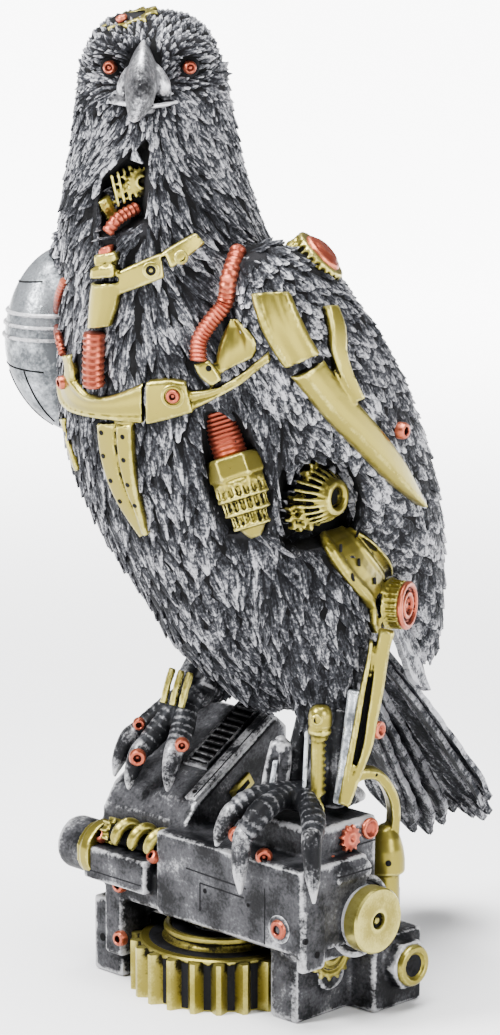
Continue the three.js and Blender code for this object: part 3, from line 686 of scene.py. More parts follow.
def pixel_of(place):
    """Where the photograph shows a place."""
    gap = place - CAMERA_AT
    depth = gap.dot(VIEW_AHEAD)
    return MIDDLE_X + FOCAL * gap.dot(VIEW_RIGHT) / depth, MIDDLE_Y - FOCAL * gap.dot(VIEW_UP) / depth


def ray_through(px, py):
    return (VIEW_AHEAD * FOCAL + VIEW_RIGHT * (px - MIDDLE_X) + VIEW_UP * (MIDDLE_Y - py)).normalized()


def on_plane(px, py, place, normal):
    """What a pixel shows of a flat face through a place."""
    ray = ray_through(px, py)
    return CAMERA_AT + ray * ((place - CAMERA_AT).dot(normal) / ray.dot(normal))


def facing(px, py, depth):
    """A pixel's place on the upright plane that faces the camera, so far in front of the middle."""
    return on_plane(px, py, TO_CAMERA * depth, TO_CAMERA)


def on_face(px, py, ahead):
    """A pixel's place on the head, so far ahead of its axis."""
    return on_plane(px, py, HEAD + HEAD_AHEAD * ahead, HEAD_AHEAD)


def seen(px, py, lift=0.0):
    """The body's surface at a pixel, lifted off it: a place and the surface's normal."""
    ray = ray_through(px, py)
    place, normal, _, _ = bench["skin"].ray_cast(CAMERA_AT, ray)
    if place is None:
        beside = CAMERA_AT + ray * (BODY_MIDDLE - CAMERA_AT).dot(ray)
        place, normal, _, _ = bench["skin"].find_nearest(beside)
    return place + normal * lift, normal


def hollow_depth(outline, place):
    """How many pixels inside a convex outline a place is."""
    px, py = pixel_of(place)
    gaps = []
    for (ax, ay), (bx, by) in zip(outline, outline[1:] + outline[:1]):
        run = math.hypot(bx - ax, by - ay)
        gaps.append(((bx - ax) * (py - ay) - (by - ay) * (px - ax)) / run)
    return min(gaps)


def in_hollow(place, normal, margin=-3.0):
    """Whether feathers stay off a place, because a hollow of the photograph is there."""
    if normal.dot(VIEW_AHEAD) > 0.1 or place.y > 12:
        return False
    return any(hollow_depth(outline, place) > margin for outline, _ in HOLLOWS.values())


# A plain plate across its width: the share of the width and the height there.
FLAT_PLATE = ((0.0, -0.5), (0.08, 0.0), (0.3, 0.0), (0.5, 0.0), (0.7, 0.0), (0.92, 0.0), (1.0, -0.5))
PLATE_FOOT = -1.0


def ribbon(bm, low, high, top=3.0, steps=24, profile=FLAT_PLATE):
    """A plate over the body between two edges in pixels, with (share, height) pairs across it."""
    low, high = [Vector((*p, 0)) for p in low], [Vector((*p, 0)) for p in high]
    rows = []
    for step in range(steps + 1):
        t = step / steps
        a, b = spline(low, t), spline(high, t)
        rows.append([seen(*(a.lerp(b, share).xy)) for share in (0.0, 0.5, 1.0)])
    for _ in range(2):
        rows = [
            [
                (sum((rows[k][i][0] for k in near_rows), Vector()) / len(near_rows),
                 sum((rows[k][i][1] for k in near_rows), Vector()) / len(near_rows))
                for i in range(3)
            ]
            for near_rows in ([max(j - 1, 0), j, min(j + 1, steps)] for j in range(steps + 1))
        ]
    rings = []
    for left, middle, right in rows:
        normal = (left[1] + middle[1] * 2 + right[1]).normalized()
        bulge = middle[0] - (left[0] + right[0]) / 2
        lift = min(max(bulge.dot(normal), -0.5), 3.0)
        ring = []
        for share, height in profile:
            ring.append(left[0].lerp(right[0],
                                     share) + normal * (top + height + lift * 4 * share * (1 - share)))
        ring += [right[0] + normal * PLATE_FOOT, left[0] + normal * PLATE_FOOT]
        rings.append(ring)
    return loft(bm, rings)


def screw(tray, place, axis, radius, height=0.8):
    """A raised brass ring round a sunk head painted near-black as its shade."""
    profile = [(radius, -1), (radius, height * 0.7), (radius * 0.88, height), (radius * 0.62, height),
               (radius * 0.55, 0.05)]
    turned(tray.fine("brass"), profile, axis, place, 20)
    turned(tray.fine("dark"), [(radius * 0.55, -0.5), (radius * 0.55, 0.12)], axis, place, 14)
    turned(tray.fine("brass"),
           [(radius * 0.28, -0.5), (radius * 0.28, height * 0.4), (radius * 0.16, height * 0.5)], axis,
           place, 10)


def seam(bm, start, end, out, width=0.45):
    """A thin near-black line on a face, from one place to another: painted shade of a groove."""
    run = end - start
    along = run.normalized()
    turn = Matrix((along, out.cross(along), out)).transposed().to_4x4()
    turn.translation = start
    block(bm, (0, -width / 2, -0.5), (run.length, width / 2, 0.1), 0, turn)


# Plumage


def feather_shape(name, outline, camber, groove, tips, columns=4):
    """One feather as a closed shell one unit long: a grid bent to an outline, then given a back."""
    bm = bmesh.new()
    rows = len(outline) - 1
    bmesh.ops.create_grid(bm, x_segments=columns, y_segments=rows, size=0.5)
    uv = bm.loops.layers.uv.new("feather")
    worn, tone = layer(bm, "worn"), layer(bm, "tone")
    for face in bm.faces:
        for loop in face.loops:
            loop[uv].uv = (loop.vert.co.x + 0.5, loop.vert.co.y + 0.5)
    for vert in bm.verts:
        across, along = 2 * vert.co.x, vert.co.y + 0.5
        column, row = round((across + 1) * columns / 2), round(along * rows)
        ridge = column % 2 == columns // 2 % 2
        tip = tips[round(column * (len(tips) - 1) / columns)]
        shine, rim = 1.0 if ridge else 0.72, 0.6 if abs(across) > 0.99 else 1.0
        vert[worn] = (0.15 + 0.85 * along**1.4) * shine * rim
        vert.co = Vector((
            across * outline[row],
            along + (tip if row == rows else 0.4 * tip if row == rows - 1 else 0),
            camber * (1 - across**2) - (0 if ridge else groove),
        ))
    out = bmesh.ops.extrude_face_region(bm, geom=list(bm.faces))["geom"]
    back = [f for f in bm.faces if f not in out and abs(f.normal.z) > 0.2]
    top = {v for v in out if isinstance(v, bmesh.types.BMVert)}
    for vert in bm.verts:
        if vert not in top:
            vert.co.z -= 0.55
            vert[worn] *= 0.25
    bmesh.ops.dissolve_faces(bm, faces=back)
    bmesh.ops.recalc_face_normals(bm, faces=bm.faces)
    mesh = bpy.data.meshes.new(name)
    bm.to_mesh(mesh)
    bm.free()
    return mesh


def feather_shapes():
    """The kinds of feather, each in a few cuts."""
    tuft, scale, pebble = [0.6, 0.95, 1.0, 0.86, 0.42], [0.6, 0.95, 1.05, 1.0, 0.62], [0.7, 1.0, 0.95, 0.5]
    jags = [(-0.22, -0.05, 0.03, 0.04, -0.06, -0.02, -0.2), (-0.16, 0.0, -0.06, 0.06, 0.0, -0.1, -0.24),
            (-0.2, -0.1, 0.04, 0.0, -0.07, 0.03, -0.16), (-0.26, -0.08, 0.02, 0.05, 0.03, -0.1, -0.28)]
    rounds = [(-0.24, -0.09, -0.01, 0.02, 0.0, -0.08, -0.25), (-0.2, -0.06, 0.01, 0.0, -0.05, -0.1, -0.26)]
    return {
        "tuft": [feather_shape("tuft", tuft, 0.6, 0.15, tips) for tips in jags],
        "scale": [feather_shape("scale", scale, 0.6, 0.12, tips) for tips in rounds + jags[:1]],
        "pebble": [feather_shape("pebble", pebble, 0.75, 0.15, tips) for tips in rounds + jags[1:3]],
    }


class Plumage:
    """Lays feathers on the bare body and gathers them in one mesh."""

    def __init__(self, seed, lift, polish=1.0, thick=0.9):
        self.bm = bmesh.new()
        self.chance = random.Random(seed)
        self.lift, self.polish, self.thick = lift, polish, thick

    def lay(self, shape, root, flow, length, width):
        before = len(self.bm.verts)
        self.bm.from_mesh(shape)
        self.bm.verts.ensure_lookup_table()
        place, normal, _, _ = bench["skin"].find_nearest(root)
        flow = (flow - normal * flow.dot(normal)).normalized()
        flow = (flow + flow.cross(normal) * self.chance.uniform(-0.24, 0.24)).normalized()
        side = flow.cross(normal)
        worn, tone = layer(self.bm, "worn"), layer(self.bm, "tone")
        bench.setdefault("laid", []).append((place + flow * (0.45 * length), flow))
        shade = self.chance.random()
        lean = self.chance.uniform(-0.4, 0.4)
        lift = self.lift * self.chance.uniform(0.55, 1.3)
        for i in range(before, len(self.bm.verts)):
            vert = self.bm.verts[i]
            x, y, z = vert.co
            point = place + side * (x * width / 2 + lean * y * y * width * 0.3) + flow * (y * length)
            foot, out, _, _ = bench["skin"].find_nearest(point)
            vert.co = foot + out * ((z - 0.4) * self.thick - 0.05 + lift * y**1.4) + (point - foot) * 0.25
            vert.co.z = min(vert.co.z, HIGHEST)
            # More or less silver by group: worn paint, and painted light, brighter high up and darker low
            # down.
            vert[worn] *= self.polish
            vert[tone] = shade

    def cover(self, limb, kind, size_at, flow_at=None, shares=(0.0, 1.0), clear=(), shapes=None, sink=2.4):
        """Rows of feathers round a limb, leaving out what is buried or must stay clear."""
        share, row = shares[0], 0
        while share < shares[1]:
            centre = spline(limb.path, share)
            chords = (0, 0.4, 0.8, 1.2, 1.6, 2.0, 2.4, 2.8)
            spans = [(limb.surface(share, a) - limb.surface(share, a + 0.4)).length for a in chords]
            girth = sum(spans) * math.pi / 1.6
            length, width = size_at(centre, None)
            around = max(int(girth / (0.72 * width)), 5)
            step = 0.52 * length
            ahead = (spline(limb.path, share + 0.02) - spline(limb.path, share)).length / 0.02
            for k in range(around):
                angle = 2 * math.pi * (k + 0.5 * (row % 2) + self.chance.uniform(-0.28, 0.28)) / around
                here = share + self.chance.uniform(-0.4, 0.4) * step / ahead
                seed = limb.surface(here, angle)
                place, normal, _, _ = bench["skin"].find_nearest(seed)
                if (place - seed).length > sink or any(test(place) for test in clear):
                    continue
                long, wide = size_at(place, normal)
                flow = (limb.surface(here + 0.02, angle) - limb.surface(here - 0.02, angle)).normalized()
                if flow_at:
                    flow = flow_at(place, normal, flow)
                if any(in_hollow(place + flow * (part * long), normal, edge) for part,
                       edge in ((0.5, 0.0), (0.85, 5.0))):
                    continue
                wide *= self.chance.uniform(0.8, 1.25)
                self.lay(self.chance.choice(shapes[kind]), place, flow,
                         long * self.chance.uniform(0.8, 1.25), wide)
            share += step / ahead
            row += 1

    def strew(self, zone, spacing, kind, size_at, flow_at, shapes):
        """Small feathers strewn over a zone of the body, none closer than a spacing."""
        taken = {}
        spots = [spot for spot in bench["spots"] if zone(spot[0])]
        self.chance.shuffle(spots)
        for place, normal in spots:
            x, y, z = (int(c // spacing) for c in place)
            close = (taken.get((x + i, y + j, z + k), ()) for i in (-1, 0, 1) for j in (-1, 0,
                1) for k in (-1, 0, 1))
            if in_hollow(place,
                         normal) or any((p - place).length < spacing for group in close for p in group):
                continue
            taken.setdefault((x, y, z), []).append(place)
            long, wide = size_at(place, normal)
            flow = flow_at(place, normal, -UP).normalized()
            long, wide = long * self.chance.uniform(0.75, 1.25), wide * self.chance.uniform(0.75, 1.2)
            self.lay(self.chance.choice(shapes[kind]), place - flow * (0.45 * long), flow, long, wide)

    def fill(self, gap, reach, zone, kind, long, wide, shapes):
        """Feathers in the gaps between those laid so far, running as their neighbours do."""
        tree = KDTree(len(bench["laid"]))
        for number, (middle, _) in enumerate(bench["laid"]):
            tree.insert(middle, number)
        tree.balance()
        fresh = []
        spots = [spot for spot in bench["spots"] if zone(spot[0]) and gap < tree.find(spot[0])[2] < reach]
        self.chance.shuffle(spots)
        for place, normal in spots:
            if in_hollow(place, normal, 1.0) or any((p - place).length < gap for p in fresh):
                continue
            fresh.append(place)
            flow = bench["laid"][tree.find(place)[1]][1]
            self.lay(self.chance.choice(shapes[kind]), place - flow * (0.4 * long), flow, long, wide)


def near(place, centre, radius):
    return (place - centre).length < radius


def head_flow(place, normal, down):
    """Feathers run back from the beak, part under the chin and then turn down the breast."""
    local = place - HEAD
    aside, ahead = local.dot(HEAD_LEFT), local.dot(HEAD_AHEAD)
    if place.z > 270:
        share = min((place.z - 270) / 10, 1)
        return down * (1 - share) + (place - on_head(0, -24, 276)).normalized() * share * 1.3
    spread = min(max((place.z - 196) / 40, 0), 1) * (1 if ahead > 0 else 0.4)
    return down + HEAD_LEFT * (min(max(aside / 9, -1), 1) * 0.75 * spread)


def trunk_size(place, normal):
    z = place.z
    if z > 226:
        share = min((z - 226) / 30, 1)
        return 10.5 - 2.0 * share, 3.5 - 0.7 * share
    share = min(max((z - 90) / 136, 0), 1)
    return 11.0 - 0.5 * share, 5.3 - 1.5 * share


def head_size(place, normal):
    share = min(max((272 - place.z) / 20, 0), 1)
    return 3.6 + 3.3 * share, 2.4 + 0.6 * share


def covert_size(place, normal):
    share = min(max((225 - place.z) / 110, 0), 1)
    return 5.2 + 4.6 * share, 4.0 + 1.8 * share


# The polished shoulder, and the oval round it that feathers keep clear of.
DOME_MIDDLE, DOME_REACH = Vector((-43.5, -31, 197)), Vector((16.9, 21.8, 28.2))
BARE_DOME, BARE_REACH = Vector((-45, -31, 197)), Vector((18.5, 21.5, 28))


# The brow's ridge: to the side, back and up, on a head that looks ahead.
BROW = ((2, -16, 287.5), (5, -19, 288.2), (11, -19.3, 288.6), (16, -13, 286.5), (17.5, -7, 282))


class EAGLE_OT_body(bpy.types.Operator):
    """Models the bare body that the feathers lie on"""

    bl_idname = "eagle.body"
    bl_label = "Bare Body"

    def execute(self, context):
        bm = bmesh.new()
        for limb, rings in ((TRUNK, 30), (BACK, 20), (WINGS[1], 18), (WINGS[-1], 18), (THIGHS[1], 10),
                            (THIGHS[-1], 10)):
            loft(bm, limb.rings(rings, 24))
        for side in (1, -1):
            turn = Matrix.Rotation(HEAD_TURN, 4, "Z")
            turn.translation = on_head(side * 13, -11, 272)
            bmesh.ops.create_icosphere(bm, subdivisions=3, radius=1,
                                       matrix=turn @ Matrix.Diagonal((6.5, 7, 6, 1)))
            brow = [on_head(side * x, y, z) for x, y, z in BROW]
            tapered(bm, brow, (1, 2.2, 2.9, 2.4, 1.2))
        skin = remeshed(bm, context.scene.eagle_sizes.body_voxel, 5)
        sockets = [on_head(side * 11.6, -18.5, 281.6) for side in (1, -1)]
        for vert in skin.verts:
            aside = vert.co.dot(HEAD_LEFT)
            vert.co += HEAD_LEFT * (2.0 * max(-1,
                min(aside / 18, 1)) * math.exp(-(((vert.co.z - 240) / 17) ** 2)))
            if aside < -8 and vert.co.z > 92:
                vert.co -= HEAD_LEFT * (2.4 * min((-8 - aside) / 10,
                    1) * math.exp(-(((vert.co.z - 108) / 10) ** 2)))
        skin.normal_update()
        rough = BVHTree.FromBMesh(skin)
        for vert in skin.verts:
            for socket in sockets:
                gap = (vert.co - socket).length
                if gap < 7.0:
                    vert.co -= HEAD_AHEAD * 3.6 * (1 - gap / 7.0) ** 0.7
            for outline, deep in HOLLOWS.values():
                share = hollow_depth(outline, vert.co) / 7
                if share <= 0 or vert.normal.dot(VIEW_AHEAD) > 0.1:
                    continue
                hit = rough.ray_cast(CAMERA_AT, (vert.co - CAMERA_AT).normalized())[0]
                if hit is not None and (hit - vert.co).length < 3:
                    vert.co += (VIEW_AHEAD - UP * VIEW_AHEAD.z) * deep * min(1, share)
        bmesh.ops.recalc_face_normals(skin, faces=skin.faces)
        skin.normal_update()
        bench["skin"] = BVHTree.FromBMesh(skin)
        bench["spots"] = [(v.co.copy(), v.normal.copy()) for v in skin.verts]
        bench["spots"] += [(f.calc_center_median(), f.normal.copy()) for f in skin.faces]
        # the bare body is near-black: painted shade in the gaps between feathers and in the hollows
        finish_piece("bare_body", skin, "dark", "eagle", tidy=False)
        return {"FINISHED"}


# Where the beak leaves the face: a pixel and the distance ahead of the head's axis.
BEAK_ROOT = ((143, 62, 20), (142, 78, 21), (143, 92, 20), (142, 105, 18))
# The toothed ring's pixel and its distance ahead.
CROWN = (132, 18, 4.5)


class EAGLE_OT_plumage(bpy.types.Operator):
    """Lays the small feathers of the head, neck, breast, back, wings and thighs"""

    bl_idname = "eagle.plumage"
    bl_label = "Plumage"

    def execute(self, context):
        sizes = context.scene.eagle_sizes
        shapes = feather_shapes()
        eyes = [on_head(side * 11.5, -17, 281.8) for side in (1, -1)]
        beak = [on_face(px, py, ahead) for px, py, ahead in BEAK_ROOT]
        crown = on_face(*CROWN)

        def clear_head(p):
            return any(near(p, e, 3.9) for e in eyes) or any(near(p, b, 5.0) for b in beak) or near(p,
                crown, 6.8)

        def clear_dome(p):
            return sum(((p - BARE_DOME)[i] / BARE_REACH[i]) ** 2 for i in range(3)) < 1

        clear = (clear_head, clear_dome)
        # the head's gain of 1.25 lightens it: painted light from above, with its worn silver
        head = Plumage(sizes.feather_seed + 9, 0.42 * sizes.feather_lift, 1.25, 0.8)
        head.strew(lambda p: p.z > 254 and not clear_head(p), 1.55, "pebble", head_size, head_flow, shapes)
        finish_piece("head_feathers", head.bm, "plumage", "eagle", weathered=False, tidy=False)
        # each group's second number scales its silver: lower on the back and thighs, partly painted shade
        # where less light falls
        groups = {
            "neck_and_breast_feathers": (1.0, 0.97, [(TRUNK, "tuft", trunk_size, head_flow, (0.17, 0.98))]),
            "back_feathers": (1.0, 0.85, [(BACK, "scale", lambda p, n: (9.5, 5.6), None, (0.02, 0.98))]),
            "left_wing_coverts": (0.95, 1.05, [(WINGS[1], "scale", covert_size, None, (0.02, 0.95))]),
            "right_wing_coverts": (0.95, 0.95, [(WINGS[-1], "scale", covert_size, None, (0.02, 0.95))]),
            "thigh_feathers": (1.1, 0.8, [
                (THIGHS[1], "tuft", lambda p, n: (9.8, 5.2), None, (0.05, 0.97)),
                (THIGHS[-1], "tuft", lambda p, n: (9.8, 5.2), None, (0.05, 0.97)),
            ]),
        }
        for number, (name, (share, polish, limbs)) in enumerate(groups.items()):
            plumage = Plumage(sizes.feather_seed + number, share * sizes.feather_lift, polish)
            for limb, kind, size_at, flow_at, shares in limbs:
                plumage.cover(limb, kind, size_at, flow_at, shares, clear, shapes)
            if name == "thigh_feathers":
                plumage.fill(3.6, 14.0, lambda p: 96 < p.z < 262 and not clear_dome(p), "tuft", 9.0, 4.6,
                             shapes)
            finish_piece(name, plumage.bm, "plumage", "eagle", weathered=False, tidy=False)
        return {"FINISHED"}


# The beak's middle by pixel: across, down, distance ahead, half width and half depth.
BEAK = [
    (144, 52, 16, 1.8, 4), (143, 58, 19, 3.2, 5), (142.5, 67, 22.5, 4.3, 6), (141.5, 78, 25.5, 4.9, 6),
    (141, 89, 27.5, 4.9, 5.6), (140, 99, 28.6, 4.5, 4.6), (139, 107, 29.2, 3.9, 3.8),
    (137.5, 113, 29.4, 3.1, 2.8), (135.5, 118, 29.2, 2.2, 1.8), (133.5, 121, 28.8, 1.0, 1),
]
# The cere's flanges and the gape's lips: pixels with a distance ahead, radii and flatness.
LIPS = (
    (((150, 62, 21.5), (155, 74, 23.5), (160, 86, 23.5), (168, 96, 21)), (1.2, 2.7, 3.2, 1.2), 0.9),
    (((135, 63, 21.5), (129, 76, 23.5), (125, 88, 23), (119, 96, 20)), (1.0, 2.3, 2.6, 1.0), 0.9),
    (((152, 106, 25.5), (162, 104, 23), (174, 102, 19.5), (187, 101, 14.5)), (1.2, 1.6, 1.3, 0.5), 0.6),
    (((130, 103, 25), (120, 101, 22), (110, 100, 18), (98, 99, 13)), (1.1, 1.3, 1.1, 0.5), 0.6),
)
# The eye's rim, hollow and lens: radius and height.
EYE_RING = [(1.85, -3), (1.9, 0.0), (1.7, 0.7), (1.3, 1.0), (1.0, 0.8), (0.85, 0.3), (0.6, 0.5), (0.3, 0.7)]
# Pixels of the head's small parts, each with its distance ahead where it has one.
HEAD_SPOTS = {
    "lower_bill": ((143, 108, 15), (142, 110, 22), (141, 112, 26.5)),
    "nostrils": ((123.5, 86), (160, 84)),
    "eyes": ((1, 190), (-1, 109.5)),
    "crown_stud": (123, 22, 8.5),
}


class EAGLE_OT_head(bpy.types.Operator):
    """Models the beak, the eyes and the toothed ring on the crown"""

    bl_idname = "eagle.head"
    bl_label = "Head"

    def execute(self, context):
        tray = Tray("head")
        # the hooked beak
        path = [on_face(px, py, ahead) for px, py, ahead, _, _ in BEAK]
        sizes = [Vector((0.9 * w, d, 0)) for _, _, _, w, d in BEAK]
        rings = []
        for step in range(33):
            t = step / 32
            tangent = (spline(path, t + 0.01) - spline(path, t - 0.01)).normalized()
            rise = tangent.cross(HEAD_LEFT).normalized()
            rise = rise if rise.dot(HEAD_AHEAD) > 0 else -rise
            size, ring = spline(sizes, t), []
            for i in range(24):
                angle = 2 * math.pi * i / 24
                front = math.sin(angle)
                wide = math.cos(angle) * (1 - 0.34 * max(front, 0) ** 1.4)
                ring.append(spline(path, t) + HEAD_LEFT * (wide * size.x) + rise * (front * size.y))
            rings.append(ring)
        loft(tray["silver"], rings)
        # the cere's flanges beside it, the gape's lips and the lower half
        for spots, radii, flat in LIPS:
            tapered(tray["silver"], [on_face(*spot) for spot in spots], radii, flat=flat)
        tapered(tray["skin"], [on_face(*spot) for spot in HEAD_SPOTS["lower_bill"]], (5.6, 3.4, 1.2),
                flat=0.55)
        for px, py in HEAD_SPOTS["nostrils"]:
            # near-black nostrils: painted shade in the holes
            turned(tray.fine("dark"), [(0.7, -1), (0.7, 0.6), (0.4, 0.7)], HEAD_AHEAD,
                   on_face(px, py, 24.3), 12)
        for side, px in HEAD_SPOTS["eyes"]:
            look = (HEAD_AHEAD + HEAD_LEFT * side * 0.22).normalized()
            at = on_face(px, 67.5, 17.6)
            turned(tray.fine("copper"), EYE_RING, look, at, 24)
            # a near-black cup round each eye: painted shade in the socket
            turned(tray.fine("dark"), [(3.4, -3.4), (3.2, -2.0), (2.4, -1.6)], look, at, 24)
        crown = on_face(*CROWN)
        tilt = UP - HEAD_LEFT * 0.33 + HEAD_AHEAD * 0.16
        gear(tray["brass"], 9, 8.4, 2.0, 2.2, tilt, crown - UP * 1.5, hole=4.6)
        turned(tray["brass"], [(7.6, -1.6), (7.0, 0.6), (5.2, 1.2), (3.4, 0.8)], tilt, crown - UP * 1.5, 28)
        turned(tray["copper"], [(1.7, -1), (1.7, 1.6), (1.2, 2.2), (0.8, 1.4)], tilt,
               on_face(*HEAD_SPOTS["crown_stud"]), 16)
        tray.finish(voxel=0.4, around=bench["skin"])
        return {"FINISHED"}


# Pixels of the throat's works, each with its lift off the skin.
THROAT_SPOTS = {
    "wheel": (141, 181, -0.9),
    "first_bar": ((113, 173), (121, 206)),
    "brass_worm": ((101, 197, 0.4), (106, 207, 0.9), (113, 217, 0.8)),
    "dark_worm": ((106, 190, 0.0), (112, 198, 0.4), (121, 206, 0.4)),
    "capsule": ((111, 239, 2.4), (119, 231, 3.2), (129, 224, 3.4), (139, 216, 2.6)),
}


class EAGLE_OT_throat(bpy.types.Operator):
    """Models the wheels, bars and capsule inside the throat's hollow"""

    bl_idname = "eagle.throat"
    bl_label = "Throat Works"

    def execute(self, context):
        tray = Tray("throat")

        def inside(px, py, lift):
            return seen(px, py)[0] + outwards(30) * lift

        out = outwards(52)
        gear(tray["brass"], 18, 4.6, 0.9, 3.0, out, inside(*THROAT_SPOTS["wheel"]), hub=2.2)
        for k in range(4):
            ends = [inside(px + 6 * k, py - 3 * k, 1.9) for px, py in THROAT_SPOTS["first_bar"]]
            rod(tray["brass"], *ends, 0.55)
        hose(tray["brass"], [inside(*spot) for spot in THROAT_SPOTS["brass_worm"]], 2.9, 8, depth=0.45)
        hose(tray["skin"], [inside(*spot) for spot in THROAT_SPOTS["dark_worm"]], 2.4, 7, depth=0.45)
        capsule = [seen(px, py, lift)[0] for px, py, lift in THROAT_SPOTS["capsule"]]
        hose(tray.fine("copper"), capsule, 1.9, 8, depth=0.18)
        tray.finish(voxel=0.4, around=bench["skin"])
        return {"FINISHED"}


# The band's section: share of the width, and height.
BREAST_BAND = (
    (0, -0.8), (0.06, 0), (0.16, 0), (0.24, -0.5), (0.5, -0.2), (0.78, -0.5), (0.86, 0), (0.94, 0),
    (1, -0.8),
)
# The grooved band's section.
GROOVED_BAND = ((0, -0.6), (0.1, 0), (0.3, 0), (0.42, -0.7), (0.58, -0.7), (0.7, 0), (0.9, 0), (1, -0.6))
# The hollow corner plate's section.
CORNER_PLATE = (
    (0, -0.6), (0.12, 0), (0.24, -0.1), (0.36, -0.9), (0.62, -0.9), (0.78, -0.1), (0.9, 0), (1, -0.6),
)
# Pixels of the breast's fittings: a plate's two edges, a route, or a spot and its lift.
BREAST_SPOTS = {
    "band_right": (
        [(64, 380), (67, 401), (80, 412), (113, 418), (149, 422)],
        [(76, 376), (83, 383), (96, 395), (118, 393), (149, 380)],
    ),
    "band_middle": ([(149, 422), (170, 417), (197, 409)], [(149, 379), (170, 377), (189, 380)]),
    "band_left": (
        [(190, 410), (214, 398), (240, 383), (274, 357)], [(190, 390), (214, 387), (240, 373), (272, 348)],
    ),
    "clasp": (176, 393, 3.6),
    "hatch_right": ([(120, 294), (142, 286), (167, 276)], [(120, 270), (140, 261), (163, 251.5)]),
    "hatch_left": ([(168, 270), (186, 257), (204, 242)], [(161, 252), (178, 241), (194, 232)]),
    "hatch_screws": ((152, 269, 2.4), (179, 257, 2.0)),
    "collar": ([(104, 256), (110, 254), (117, 252)], [(104, 247), (110, 244), (116, 243)]),
    "upper_clamp": ([(100, 262), (124, 258)], [(100, 252), (122, 249)]),
    "lower_clamp": ([(97, 276), (122, 274)], [(98, 265), (122, 262)]),
    "pipe_plate": ([(96, 278), (94, 300), (93, 330)], [(122, 278), (121, 302), (113, 328)]),
    "pipe": ((101, 331, 2.8), (101, 348, 3), (101, 366, 3), (101, 383, 2.8)),
    "thick_hose": [(238, 254), (235, 278), (226, 302), (209, 322), (199, 340), (198, 360)],
    "thin_hose": [(69, 280), (64, 298), (61, 318), (64, 336), (68, 354)],
    "thin_hose_end": ([(68, 352), (72, 366), (70, 380)], [(74, 351), (79, 366), (80, 380)]),
    "thin_hose_rivet": (70, 381, 2.6),
    "thick_hose_end": ([(193, 362), (199, 376), (212, 386)], [(207, 358), (215, 367), (222, 380)]),
    "thick_hose_screw": (208, 367, 3.2),
    "corner_plate": (
        [(214, 380), (217, 352), (226, 330), (236, 316)], [(254, 358), (258, 344), (250, 330), (238, 317)],
    ),
    "keel_flat": (
        [(101, 417), (104, 450), (114, 485), (130, 514), (146, 536)],
        [(119, 418), (121, 450), (128, 482), (139, 509), (149, 534)],
    ),
    "keel_edge": (
        [(121, 418), (123, 450), (130, 482), (141, 509), (150, 534)],
        [(136, 419), (137, 452), (141, 484), (147, 512), (153, 533)],
    ),
    "keel_holes": (
        (107, 430), (109, 453), (116, 477), (125, 497), (129, 433), (130, 456), (134, 480), (141, 500),
    ),
    "side_strip": ([(63, 415), (66, 440), (74, 478)], [(68, 414), (71, 440), (78, 476)]),
}


